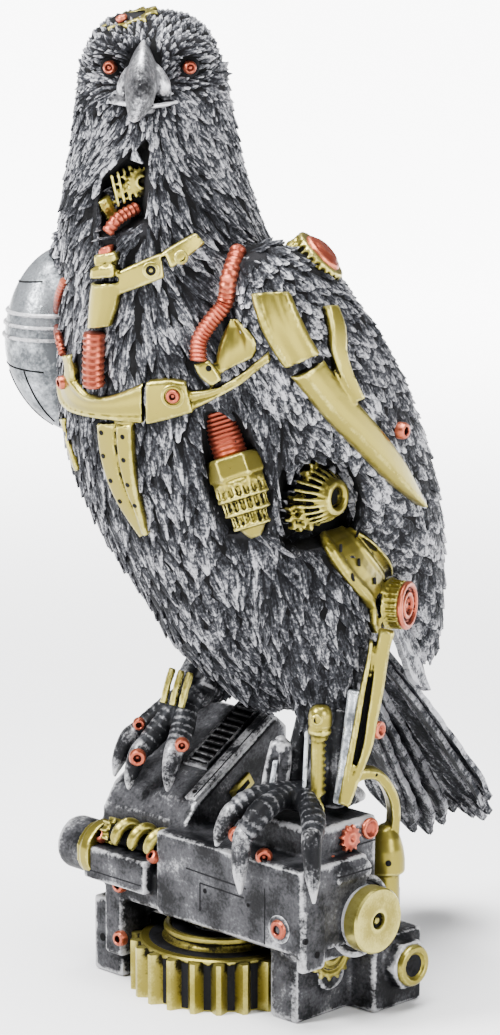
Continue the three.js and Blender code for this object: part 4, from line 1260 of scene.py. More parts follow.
class EAGLE_OT_breast(bpy.types.Operator):
    """Models the band, the hinged plates, the keel strap, the pipe and the hoses of the breast"""

    bl_idname = "eagle.breast"
    bl_label = "Breast Fittings"

    def execute(self, context):
        tray = Tray("breast")
        brass, copper = tray["brass"], tray["copper"]
        ribbon(brass, *BREAST_SPOTS["band_right"], top=2.8, profile=BREAST_BAND)
        ribbon(brass, *BREAST_SPOTS["band_middle"], top=3.8, steps=10)
        ribbon(brass, *BREAST_SPOTS["band_left"], top=2.6, profile=GROOVED_BAND)
        place, normal = seen(*BREAST_SPOTS["clasp"])
        turned(tray.fine("brass"), [(3.4, -1), (3.4, 0.5), (3.0, 0.8), (2.5, 0.8), (2.3, 0.2)], normal,
               place, 24)
        rivet(tray.fine("copper"), place + normal * 0.2, normal, 2.1, 1.0)
        # the hinged plates under the throat and their screws
        ribbon(brass, *BREAST_SPOTS["hatch_right"], top=2.6, steps=10)
        ribbon(brass, *BREAST_SPOTS["hatch_left"], top=3.0, steps=10)
        for px, py, size in BREAST_SPOTS["hatch_screws"]:
            place, normal = seen(px, py, 2.5)
            screw(tray, place, normal, size, 0.7)
        # the pipe down the breast: collars, plate and ribbed copper cylinder
        ribbon(copper, *BREAST_SPOTS["collar"], top=3.6, steps=5)
        ribbon(brass, *BREAST_SPOTS["upper_clamp"], top=4.2, steps=6)
        ribbon(brass, *BREAST_SPOTS["lower_clamp"], top=4.6, steps=6)
        ribbon(brass, *BREAST_SPOTS["pipe_plate"], top=4.0, steps=10,
               profile=((0, -1.6), (0.15, -0.5), (0.35, 0), (0.6, 0.1), (0.85, -0.6), (1, -1.6)))
        pipe = [seen(*spot)[0] for spot in BREAST_SPOTS["pipe"]]
        hose(tray.fine("copper"), pipe, 3.3, 9, depth=0.12)
        # hoses: the thick one at the left breast and the thin spiral at the right
        route = BREAST_SPOTS["thick_hose"]
        hose(tray.fine("copper"), [seen(px, py, 2.2)[0] for px, py in route], 2.55, 26, depth=0.15)
        route = BREAST_SPOTS["thin_hose"]
        hose(tray.fine("copper"), [seen(px, py, 1.6)[0] for px, py in route], 1.3, 22, depth=0.22)
        ribbon(brass, *BREAST_SPOTS["thin_hose_end"], top=2.6, steps=6)
        place, normal = seen(*BREAST_SPOTS["thin_hose_rivet"])
        rivet(tray.fine("copper"), place, normal, 2.0, 1.2)
        ribbon(brass, *BREAST_SPOTS["thick_hose_end"], top=3.4, steps=8)
        place, normal = seen(*BREAST_SPOTS["thick_hose_screw"])
        # a near-black disc at the screw: painted shade
        turned(tray.fine("dark"), [(0.9, -0.6), (0.9, 0.3), (0.6, 0.4)], normal, place, 12)
        ribbon(brass, *BREAST_SPOTS["corner_plate"], top=1.9, steps=12, profile=CORNER_PLATE)
        # the keel strap: a broad flat, a slot and a raised edge, narrowing to a point
        ribbon(brass, *BREAST_SPOTS["keel_flat"], top=2.4, steps=18)
        ribbon(brass, *BREAST_SPOTS["keel_edge"], top=3.1, steps=18)
        # the keel's holes are near-black discs: painted shade
        for px, py in BREAST_SPOTS["keel_holes"]:
            place, normal = seen(px, py, 2.3 if px < 126 else 3.0)
            turned(tray.fine("dark"), [(0.75, -0.6), (0.75, 0.22), (0.5, 0.3)], normal, place, 10)
        ribbon(brass, *BREAST_SPOTS["side_strip"], top=2.0, steps=8)
        tray.finish(voxel=0.56, around=bench["skin"])
        return {"FINISHED"}


# The flared wheel's rim: radius and height.
FLARED_RING = [(4.4, -1.6), (5.3, -0.6), (5.3, 0.5), (4.7, 1.0), (3.6, 0.9), (3.0, 0.2), (2.8, -2)]
# Pixels of the flank's works, each with its distance in front of the middle.
FLANK_SPOTS = {
    "coil": (228, 470, 3.4),
    "axis_top": (217, 411),
    "axis_end": (254, 531),
    "flared_wheel": (336.5, 497.5, 37.5),
    "outer_pinion": (306, 507, 34.5),
    "middle_pinion": (296, 509, 34),
    "inner_pinion": (287, 505, 33),
    "upper_wheel": (312, 477, 33),
    "inner_wheel": (300, 486, 32),
    "shaft_start": (290, 476, 32),
    "shaft_end": (336, 470, 33),
}


class EAGLE_OT_flank(bpy.types.Operator):
    """Models the coil, the hexagonal nut, the stepped cone and the wheels in the left flank"""

    bl_idname = "eagle.flank"
    bl_label = "Flank Works"

    def execute(self, context):
        tray = Tray("flank")
        brass = tray["brass"]
        # the coil, nut and stepped cone share one slanting axis
        front = TO_CAMERA * 0.97 + UP * 0.2
        middle = seen(*FLANK_SPOTS["coil"])[0]
        start, end = on_plane(*FLANK_SPOTS["axis_top"], middle, front), on_plane(*FLANK_SPOTS["axis_end"],
            middle, front)
        axis, run = (end - start).normalized(), (end - start).length

        def along(share):
            return start + axis * (share * run)

        hose(tray.fine("copper"), [along(s) for s in (0.0, 0.12, 0.24, 0.37)], 5.0, 10, sides=24, depth=0.09)
        turned(brass, [(7.4, 0), (8.1, 0.7), (8.1, 0.19 * run - 0.7), (7.4, 0.19 * run)], axis, along(0.37),
               6)
        turned(brass, [(6.3, 0), (7.3, 0.6), (7.3, 1.6), (6.6, 2.2)], axis, along(0.56), 28)
        for share, size in ((0.61, 7.4), (0.73, 6.6), (0.85, 5.4)):
            gear(brass, 18, size, 1.2, 3.2, axis, along(share))
            turned(brass, [(size + 0.1, 0), (size + 0.1, 0.8)], axis, along(share + 0.09), 28)
        tapered(brass, [along(0.94), along(1.0), along(1.05)], (4.2, 3.0, 1.6))
        # the flaring wheel that faces left: a ring with a hole, and long ribs spreading behind it
        hub = facing(*FLANK_SPOTS["flared_wheel"])
        look = (LEFT + BACKWARDS * 0.12).normalized()
        turned(brass, FLARED_RING, look, hub, 32)
        # near-black inside the ring's hole and behind its ribs: painted shade
        turned(tray["dark"], [(3.2, -6), (2.9, -1.4)], look, hub, 24)
        turned(tray["dark"], [(8.2, -9.5), (7.8, -8.5), (4.2, -1.4)], look, hub, 32)
        spread = frame_along(look, hub)
        for k in range(22):
            angle = math.pi * k / 11
            spoke = [spread @ Vector((r * math.cos(angle), r * math.sin(angle), z)) for r,
                     z in ((4.9, -0.2), (7.0, -3.2), (9.2, -8.6))]
            tapered(brass, spoke, (0.55, 0.6, 0.5), sides=8, steps=4)
        # pinions between it and the cone, and those behind
        gear(brass, 11, 6.6, 1.7, 2.6, look, facing(*FLANK_SPOTS["outer_pinion"]), hub=2.6)
        gear(brass, 11, 6.6, 1.7, 2.6, look, facing(*FLANK_SPOTS["middle_pinion"]), hub=2.6)
        gear(tray["skin"], 12, 5.6, 1.5, 3.0, look, facing(*FLANK_SPOTS["inner_pinion"]))
        gear(brass, 12, 6.0, 1.4, 2.4, look, facing(*FLANK_SPOTS["upper_wheel"]), hub=2.4)
        gear(tray["skin"], 12, 6.4, 1.5, 2.6, look, facing(*FLANK_SPOTS["inner_wheel"]))
        rod(tray["skin"], facing(*FLANK_SPOTS["shaft_start"]), facing(*FLANK_SPOTS["shaft_end"]), 1.6)
        tray.finish(voxel=0.44, around=bench["skin"])
        return {"FINISHED"}


# The framed shoulder plate's section: share of the width, and height.
WING_FRAME = (
    (0, -0.9), (0.05, 0), (0.17, 0.1), (0.23, -0.6), (0.5, -0.35), (0.76, -0.6), (0.82, 0.1), (0.94, 0),
    (1, -0.9),
)
# The hidden wing's strut, in millimetres.
RIGHT_STRUT = ((-50, -12, 206), (-55, -4, 191), (-54, 8, 173), (-48, 24, 153))
# The ridged strut's section.
MAIN_STRUT = ((0, -1.8), (0.06, -0.6), (0.28, 0.6), (0.34, 0.7), (0.6, -0.1), (0.92, -1.2), (1, -2.0))
# The stepped copper cap: radius and height.
SHOULDER_CAP = [
    (6.3, 0), (6.5, 0.5), (6.2, 1.3), (5.6, 1.7), (5.0, 1.6), (4.6, 2.1), (3.2, 2.8), (2.8, 2.3),
    (1.5, 2.5),
]
# Pixels of the left wing's fittings: a plate's two edges, or a spot.
WING_SPOTS = {
    "shoulder_plate": (
        [(250, 292), (256, 316), (266, 340), (284, 369)], [(289, 290), (299, 314), (310, 337), (319, 352)],
    ),
    "main_strut": (
        [(286, 371), (322, 416), (352, 447), (386, 482), (418, 507)],
        [(320, 355), (343, 387), (372, 420), (401, 459), (421, 503)],
    ),
    "thin_strut": (
        [(320, 303), (326, 330), (327, 350), (337, 378), (351, 402)],
        [(331, 303), (341, 328), (342, 352), (351, 378), (362, 400)],
    ),
    "plate_screws": ((289, 367), (314, 357)),
    "shoulder_wheel": (308, 267, 39.5),
    "strut_rivet": (397, 430, 1.8),
}


class EAGLE_OT_wing_fittings(bpy.types.Operator):
    """Models the wing struts, the shoulder's wheel and the polished shoulder"""

    bl_idname = "eagle.wing_fittings"
    bl_label = "Wing Fittings"

    def execute(self, context):
        tray = Tray("wing")
        brass = tray["brass"]
        ribbon(brass, *WING_SPOTS["shoulder_plate"], top=3.4, steps=16, profile=WING_FRAME)
        ribbon(brass, *WING_SPOTS["main_strut"], top=3.7, steps=24, profile=MAIN_STRUT)
        ribbon(brass, *WING_SPOTS["thin_strut"], top=3.0, steps=18)
        for px, py in WING_SPOTS["plate_screws"]:
            place, normal = seen(px, py, 3.4)
            # near-black dots at the plate's screws: painted shade
            turned(tray.fine("dark"), [(1.0, -0.8), (1.0, 0.5), (0.6, 0.7)], normal, place, 12)
        # the other wing's strut lies mirrored, plain
        main = [Vector(p) for p in RIGHT_STRUT]
        strap(brass, main, lambda t: Vector((-1, -0.35, 0.3)),
              lambda t: 3 + 9 * math.sin(math.pi * (0.3 + 0.68 * t)), 6, 20)
        # the toothed wheel with its copper cap on each shoulder
        for axis, foot in (
            (Vector((0.58, 0.42, 0.7)), facing(*WING_SPOTS["shoulder_wheel"])),
            (Vector((-0.5, 0.34, 0.8)), Vector((-32, -16, 222))),
        ):
            axis.normalize()
            turned(brass, [(8.4, -1.5), (9.0, 0), (9.3, 0.6), (9.0, 1.4)], axis, foot, 40)
            # a near-black drum inside the teeth: painted shade in the tooth gaps
            turned(tray["dark"], [(8.0, 0), (8.0, 4.4)], axis, foot + axis, 40)
            gear(brass, 24, 8.9, 1.3, 4.0, axis, foot + axis * 1.0)
            turned(brass, [(8.6, 0), (8.7, 0.5), (8.0, 0.9), (6.6, 0.9)], axis, foot + axis * 4.9, 40)
            turned(tray["copper"], SHOULDER_CAP, axis, foot + axis * 5.2, 40)
        # the polished shoulder at the right, with its ribs and panel lines
        dome = tray.fine("chrome")
        middle, reach = DOME_MIDDLE, DOME_REACH
        turn = Matrix.Translation(middle) @ Matrix.Diagonal((*reach, 1))
        bmesh.ops.create_uvsphere(dome, u_segments=64, v_segments=48, radius=1, matrix=turn)

        def drift(height):
            return HEAD_LEFT * (3.8 * max((middle.z - height) / reach.z, 0) ** 1.6)

        for vert in dome.verts:
            vert.co += drift(vert.co.z)

        def on_dome(turn_degrees, height, swell=1.0):
            angle, rise = math.radians(turn_degrees), (height - middle.z) / reach.z
            shrink = math.sqrt(max(1 - rise**2, 0)) * swell
            x, y = reach.x * shrink * math.cos(angle), reach.y * shrink * math.sin(angle)
            return middle + Vector((x, y, height - middle.z)) + drift(height)

        for height in (199.5, 203, 206.5):
            tapered(tray["steel"], [on_dome(-150 + 12 * k, height, 1.01) for k in range(10)], [0.75] * 10,
                    sides=8, steps=3)
        # panel lines as thin near-black tubes: painted shade of grooves
        for ends in (((-178, 192), (-62, 190)), ((-120, 189), (-112, 172)), ((-165, 214), (-70, 216)),
                     ((-84, 190), (-80, 174))):
            (a, low), (b, high) = ends
            line = [on_dome(a + (b - a) * k / 8, low + (high - low) * k / 8, 1.0) for k in range(9)]
            tapered(tray.fine("dark"), line, [0.28] * 9, sides=6, steps=2)
        place, normal = seen(*WING_SPOTS["strut_rivet"])
        rivet(tray.fine("copper"), place, normal, 2.5, 1.6)
        tray.finish(voxel=0.62, around=bench["skin"])
        return {"FINISHED"}


# The rails' section: share of the width, and height.
THIGH_RAIL = (
    (0, -0.9), (0.06, 0), (0.16, 0.1), (0.24, -0.5), (0.5, -0.35), (0.76, -0.5), (0.84, 0.1), (0.94, 0),
    (1, -0.9),
)
# The knob's rings: radius and height.
KNOB_CAP = [
    (6.9, 0), (7.3, 0.6), (7.1, 1.4), (6.2, 1.8), (5.6, 1.6), (5.1, 0.5), (4.5, 0.4), (4.1, 1.2),
    (3.3, 1.6), (2.7, 1.2), (2.3, 0.3), (1.2, 0.3), (0.9, 0.8),
]
# Pixels of the thigh's plate: a rail's two edges, its slots with their lean, and the knob.
THIGH_SPOTS = {
    "outer_rail": (
        [(316, 535), (325, 556), (346, 585), (366, 608), (382, 640)],
        [(336, 530), (356, 543), (374, 566), (386, 592), (402, 634)],
    ),
    "inner_rail": (
        [(337, 530), (357, 543), (372, 564), (379, 577)], [(352, 528), (368, 535), (388, 558), (393, 571)],
    ),
    "slots": ((334, 549, 0.2), (351, 563, 0.4), (366, 581, 0.4), (345, 577, 0.9)),
    "knob": (391, 604, 18),
}


class EAGLE_OT_thigh(bpy.types.Operator):
    """Models the slotted plate and the knob on the left thigh"""

    bl_idname = "eagle.thigh"
    bl_label = "Thigh Plate"

    def execute(self, context):
        tray = Tray("thigh")
        brass = tray["brass"]
        ribbon(brass, *THIGH_SPOTS["outer_rail"], top=3.0, steps=20, profile=THIGH_RAIL)
        ribbon(brass, *THIGH_SPOTS["inner_rail"], top=2.0, steps=14, profile=THIGH_RAIL)
        # the slots are near-black rods: painted shade
        for px, py, turn in THIGH_SPOTS["slots"]:
            place, normal = seen(px, py, 2.8)
            rod(tray["dark"], place + UP * 1.3, place - UP * 1.3 + LEFT * turn, 0.55)
        knob = facing(*THIGH_SPOTS["knob"])
        out = Vector((0.93, 0.37, 0.02)).normalized()
        turned(brass, [(8.0, 0), (8.0, 0.8), (6.6, 1.2), (6.6, 5)], out, knob - out * 0.5, 36)
        gear(brass, 26, 7.4, 0.9, 3.6, out, knob + out * 0.8)
        turned(tray["copper"], KNOB_CAP, out, knob + out * 4.3, 40)
        tray.finish(voxel=0.45, around=bench["skin"])
        return {"FINISHED"}


LEFT_TOES = [
    ((23, -24, 67), (21, -29, 64), (18, -32, 54)), ((31, -27, 66), (29, -32, 59), (29, -33, 42)),
    ((43, -17, 64), (49, -24, 60), (52.5, -26.5, 43)), ((31, 6, 64), (32, 11, 64), (33, 14, 61.5)),
]
RIGHT_TOES = [
    ((-33, -9, 78), (-37, -15, 73), (-39.5, -19, 61)), ((-26, -13, 77), (-27.5, -20, 71), (-28.5, -23.5, 60)),
    ((-17, -12, 78), (-14.5, -18, 73), (-13.5, -21.5, 62)), ((-23, 8, 86), (-23, 13, 87), (-23, 17, 84)),
]


# The toothed column's stepped cap: radius and height.
COLUMN_CAP = [
    (2.6, -2), (2.6, -0.4), (3.4, 0), (3.5, 1.2), (3.0, 1.6), (3.0, 2.0), (3.5, 2.4), (3.5, 5.6),
    (3.1, 7.2), (2.2, 8.4), (1.0, 8.9),
]
# Pixels of the legs' fittings: a distance in front of the middle and a route, or a spot.
LEG_SPOTS = {
    "joint_eyes": (
        (236, 835, 38.5, 2.3), (264, 857, 41, 2.5), (139, 724, -11, 1.9), (137.5, 757.5, -1.5, 2.6),
        (182, 745, 6, 2.2),
    ),
    "blade": (24.5, (272, 808), (275, 784), (279, 760), (281, 742)),
    "blade_cap": (281, 747, 24),
    "blade_shine": (28.2, (270, 800), (272.5, 780), (275.5, 760)),
    "ankle_rail": (29.5, (304, 792), (305.5, 762), (307, 731)),
    "column": (30, (317, 796), (317.5, 733)),
    "column_cap": (319.5, 733, 30),
    "bracket_screw": (317, 720, 33.2),
    "bracket": (31.5, (287, 803), (297, 796), (309, 796), (318, 803), (321, 812)),
    "strut_rail": (
        29.5, (387, 630), (382, 652), (377, 690), (372, 718), (368, 743), (359.5, 768), (346, 805),
    ),
    "strut_inner_rail": (
        29.8, (371, 640), (369, 658), (362.5, 690), (355.5, 729), (347.5, 770), (341.5, 803),
    ),
    "strut_groove": (28.4, (377, 642), (369, 690), (362, 730), (352, 768), (343.5, 800)),
    "strut_shine": (29.0, (356, 690), (349, 740), (343.5, 772), (337.5, 803)),
    "piston_foot": (333, 806, 24),
    "piston_top": (340, 705, 24),
    "strut_ring": (379, 730, 28.5),
}


class EAGLE_OT_legs(bpy.types.Operator):
    """Models the shanks with their rods, the struts, the toes and the claws"""

    bl_idname = "eagle.legs"
    bl_label = "Legs"

    def execute(self, context):
        tray = Tray("leg")
        skin, brass, copper, chrome = tray["skin"], tray["brass"], tray["copper"], tray["chrome"]
        for ankle, toes, hip in ((LEFT_ANKLE, LEFT_TOES, Vector((27, 3, 98))),
                                 (RIGHT_ANKLE, RIGHT_TOES, Vector((-21, 5, 102)))):
            turn = Matrix.Translation(ankle + Vector((0, 0, -0.5))) @ Matrix.Diagonal((6.6, 6, 4.8, 1))
            bmesh.ops.create_icosphere(skin, subdivisions=3, radius=1, matrix=turn)
            for knuckle, bend, tip in toes:
                knuckle, bend, tip = Vector(knuckle), Vector(bend), Vector(tip)
                start = ankle + (knuckle - ankle) * 0.12
                arch = (ankle + knuckle) / 2 + UP * 1.4
                tapered(skin, [start, arch, knuckle, bend], (4.2, 3.4, 3.7, 2.9), sides=18, steps=7,
                        ripple=0.035)
                claw = [knuckle.lerp(bend, 0.6), bend,
                        bend.lerp(tip, 0.5) + (bend - knuckle).normalized() * 0.9, tip]
                tapered(tray["steel"], claw, (3.0, 3.0, 2.3, 0.5), sides=16, steps=8)
            for side, thick in ((-1, 3.2), (1, 2.8)):
                offset = Vector((side * 4.6, 0.6, 0))
                rod(skin, ankle + offset + UP * 2, hip + offset * 0.8, thick, thick * 0.9, 24)
            rod(skin, ankle + Vector((0, 3.4, 1)), hip + Vector((0, 4, 0)), 3.2, 3.6, 20)
        # copper eyes at the toes' joints
        for px, py, depth, size in LEG_SPOTS["joint_eyes"]:
            rivet(tray.fine("copper"), facing(px, py, depth), TO_CAMERA - UP * 0.1, size, 1.2)

        def route(depth, *pixels):
            return [facing(px, py, depth) for px, py in pixels]

        def front(_):
            return TO_CAMERA

        # left shank: the polished blade, the toothed column, its cap and the ankle's bracket
        strap(tray["steel"], route(*LEG_SPOTS["blade"]), front,
              lambda t: 5.6 + 2.4 * math.sin(math.pi * min(0.15 + t * 0.8, 1)), 3.0, 18, groove=-0.5)
        turned(tray["steel"], [(2.4, -2), (2.9, 0), (2.7, 1.4), (1.4, 3.0), (0.6, 3.6)], UP,
               facing(*LEG_SPOTS["blade_cap"]), 20)
        strap(chrome, route(*LEG_SPOTS["blade_shine"]), front, 1.5, 1.2, 12)
        strap(chrome, route(*LEG_SPOTS["ankle_rail"]), front, 1.3, 1.6, 10)
        column = route(*LEG_SPOTS["column"])
        rod(brass, column[0], column[1], 1.9, 1.9, 20)
        for k in range(9):
            at = column[0].lerp(column[1], (k + 0.6) / 9.4)
            block(brass, at + VIEW_RIGHT * 1.6 - Vector((0.9, 0.9, 0.42)),
                  at + VIEW_RIGHT * 1.6 + Vector((0.9, 0.9, 0.42)), 0.12)
        cap = facing(*LEG_SPOTS["column_cap"])
        turned(brass, COLUMN_CAP, UP + LEFT * 0.06, cap, 28)
        screw(tray, facing(*LEG_SPOTS["bracket_screw"]), TO_CAMERA, 1.7, 0.6)
        strap(brass, route(*LEG_SPOTS["bracket"]), lambda t: TO_CAMERA + UP * 0.8, 2.3, 1.8, 16)
        # the strut beside the left shank: two brass rails, a groove of near-black painted shade, a polished
        # strip and a copper ring
        strap(brass, route(*LEG_SPOTS["strut_rail"]), front, lambda t: 4.6 - 2.6 * t, 4.2, 30)
        strap(brass, route(*LEG_SPOTS["strut_inner_rail"]), front, lambda t: 1.1 + 1.2 * t, 4.4, 26)
        strap(tray["dark"], route(*LEG_SPOTS["strut_groove"]), front, 3.4, 2.0, 20)
        strap(chrome, route(*LEG_SPOTS["strut_shine"]), front, lambda t: 4.8 - 1.8 * t, 3.4, 18, groove=-0.5)
        rod(skin, facing(*LEG_SPOTS["piston_foot"]), facing(*LEG_SPOTS["piston_top"]), 3.4, 3.8)
        ring = facing(*LEG_SPOTS["strut_ring"])
        turned(copper, [(2.7, -3), (2.7, 0.6), (2.3, 1.0), (1.5, 0.9), (1.2, 0), (0.6, 0)],
               (LEFT + BACKWARDS * 0.2).normalized(), ring, 24)
        # right ankle: brass strips over the copper-ringed joint
        foot = RIGHT_ANKLE
        for x in (-3.4, 0.6, 4.4):
            strap(brass,
                  [foot + Vector(p) for p in ((x, -5.6, 8), (x - 0.4, -7.4, 3), (x - 1.2, -8.4, -2.6))],
                  lambda t: Vector((0.2, -0.8, 0.4)), 2.2, 1.6, 12)
        tray.finish(voxel=0.55, around=bench["skin"])
        return {"FINISHED"}


# Tips of the tail's lower quills: a pixel and how far back each lies.
LOWER_QUILLS = ((444, 824, 99), (431, 834, 96), (415, 832, 92), (401, 820, 88), (393, 802, 84))


class EAGLE_OT_flight_feathers(bpy.types.Operator):
    """Models the long feathers of the wings and the tail"""

    bl_idname = "eagle.flight_feathers"
    bl_label = "Flight Feathers"

    def execute(self, context):
        tail, wings = bmesh.new(), bmesh.new()
        for rank in range(2):
            for s in range(-3, 4):
                m = 1 - (abs(s) / 7) ** 2
                face = Vector((0, 0.74, 0.67))
                layer_at = face * (-1.1 * abs(s) - 2.2 * rank + 1.6)
                shift = 0.5 * rank
                root = Vector((4.4 * (s + shift), 34, 112)) + layer_at
                tip = Vector((6.4 * (s + shift), 36 + 64.6 * m - 5 * rank,
                              112 - 82 * m + 5 * rank)) + layer_at
                if s + shift < 3.2:
                    quill(tail, root, tip, face, 5.9, 1.7, s + 10 * rank)
        for rank, (px, py, back) in enumerate(LOWER_QUILLS):
            tip = on_plane(px, py, Vector((0, back, 0)), BACKWARDS)
            quill(tail, Vector((6 - 4 * rank, 34, 104)), tip, Vector((0, 0.74, 0.67)), 7.6, 1.6, 40 + rank)
        for side in (1, -1):
            for rank in range(6):
                q = rank / 5
                root = Vector((side * (42 - 5 * q), -6 + 16 * q, 172 - 26 * q))
                tip = Vector((side * (34 - 12 * q), 29 + 25 * q, 142 - 56 * q))
                quill(wings, root, tip, Vector((side, 0.25, 0.45)), 6.3, 1.7, rank + 20)
        for name, bm in (("tail_feathers", tail), ("wing_feathers", wings)):
            finish_piece(name, bm, "plumage", "eagle", weathered=False, tidy=False)
        return {"FINISHED"}


def quill(bm, root, tip, face, half_width, thick, seed):
    """A long feather as a closed blade: rounded tip, raised shaft, ragged vane edges."""
    chance = random.Random(seed * 7 + 3)
    columns, rows = 8, 26
    grid = bmesh.new()
    bmesh.ops.create_grid(grid, x_segments=columns, y_segments=rows, size=0.5)
    uv = grid.loops.layers.uv.new("feather")
    worn, tone = layer(grid, "worn"), layer(grid, "tone")
    run = tip - root
    length = run.length
    run.normalize()
    face = (face - run * face.dot(run)).normalized()
    side = run.cross(face)
    for f in grid.faces:
        for loop in f.loops:
            loop[uv].uv = (loop.vert.co.x + 0.5, (loop.vert.co.y + 0.5) * length / 14)
    shade = chance.random()
    nicks = [chance.choice((0, 0, 0, 0.12, 0.2)) for _ in range(2 * rows + 2)]
    for vert in grid.verts:
        across, along = 2 * vert.co.x, vert.co.y + 0.5
        row = round(along * rows)
        narrowing = 1 - max(0, (along - 0.86) / 0.14) ** 2.6 * 0.75
        wide = half_width * (0.45 + 0.55 * min(1, along * 2.4)) * narrowing
        if abs(across) > 0.99:
            wide *= 1 - nicks[row + (rows if across > 0 else 0)] * 0.5
        reach = length * (along - 0.06 * abs(across) ** 2 * min(1, along * 1.2))
        shaft = math.exp(-(across * 5) ** 2)
        rim = max(0, (abs(across) - 0.6) / 0.4)
        vert[worn] = min(1, 0.18 + 0.3 * along + 0.75 * rim + 0.5 * shaft)
        vert[tone] = shade
        rise = thick * (0.5 - 0.5 * across**2) + 0.8 * shaft
        vert.co = root + run * reach + side * (across * wide) + face * rise
    out = bmesh.ops.extrude_face_region(grid, geom=list(grid.faces))["geom"]
    top = {v for v in out if isinstance(v, bmesh.types.BMVert)}
    for vert in grid.verts:
        if vert not in top:
            vert.co -= face * 1.7
            vert[worn] *= 0.85
    bmesh.ops.recalc_face_normals(grid, faces=grid.faces)
    spare = bpy.data.meshes.new("quill")
    grid.to_mesh(spare)
    grid.free()
    bm.from_mesh(spare)
    bpy.data.meshes.remove(spare)


class EAGLE_OT_plinth_casting(bpy.types.Operator):
    """Models the plinth's worn steel casting"""

    bl_idname = "eagle.plinth_casting"
    bl_label = "Plinth Casting"

    def execute(self, context):
        bm = bmesh.new()
        for low, high in (
            ((-44, -16, 20), (32, 25, 49)), ((30, -18, 20), (44, 9, 49)), ((-44, -24, 0), (-31, 20, 24)),
            ((-36, -27, 8), (-28, -14, 34)), ((-36, 6, 0), (34, 25, 22)), ((31, 6, 0), (46, 27, 23)),
            ((25, -17, 0), (36, 8, 27)), ((-44, -20, 40), (-30, -10, 52)), ((-12, -28, 26), (49, 0, 52)),
            ((-32, -19.5, 26), (-10, 0, 52)), ((-30, -26, 26), (-10, -18, 38)),
                          ((-42, -30, 31), (-14.5, -18, 41.5)),
            ((46, -27.7, 21), (49.5, -18, 40)), ((6, -17, 44), (44, 9, 61)), ((46.5, -14, 45), (50, 1, 49.5)),
        ):
            block(bm, low, high, 0.8)
        # the vented ramp under the right foot
        outline = ((-21, 53), (-17, 59), (17, 80), (22, 76), (22, 46), (-21, 46))
        loft(bm, [[Vector((x, y, z)) for y, z in outline] for x in (-42, -6)])
        loft(bm,
             [[Vector((x, y * 0.86, z + 1.6)) for y, z in outline[:4]] + [Vector((x, 14, 60)),
                 Vector((x, -14, 50))] for x in (-40.6, -38.6)])
        turned(bm, [(8.2, 0), (8.2, 13), (7.4, 14), (5.4, 14), (5, 12), (2, 12)], -LEFT,
               Vector((-40, -22, 38.5)), 40)
        turned(bm, [(11.8, 0), (11.8, 4.6), (11.2, 5.4), (9.2, 5.4)], LEFT, Vector((41.6, -2, 33)), 48)
        turned(bm, [(6, 0), (6, 4.4)], LEFT, Vector((34, -4, 14)), 24)
        turned(bm, [(8, 0), (8, 8)], LEFT, Vector((43, 17, 14)), 6)
        turned(bm, [(9.6, 0), (9.6, 8)], UP, Vector((-4.8, -6.9, 19.5)), 40)
        skin = remeshed(bm, context.scene.eagle_sizes.casting_voxel, 1)
        finish_piece("plinth_casting", skin, "steel", "plinth", gain=7.0)
        return {"FINISHED"}


# Pixels of the casting's panel lines.
FRONT_SEAMS = (((186, 868), (246, 889)), ((200, 883), (244, 898)), ((200, 883), (200, 911)))
# The casting's holes: a pixel, the face it is on, the way that faces, and a radius.
CASTING_HOLES = (
    (205, 891, AHEAD * 28, AHEAD, 0.8), (103, 937, AHEAD * 24, AHEAD, 1.3),
    (306, 942, LEFT * 49.5, LEFT, 1.0), (317, 955, LEFT * 49.5, LEFT, 1.1),
    (248, 905, AHEAD * 28, AHEAD, 0.6),
)


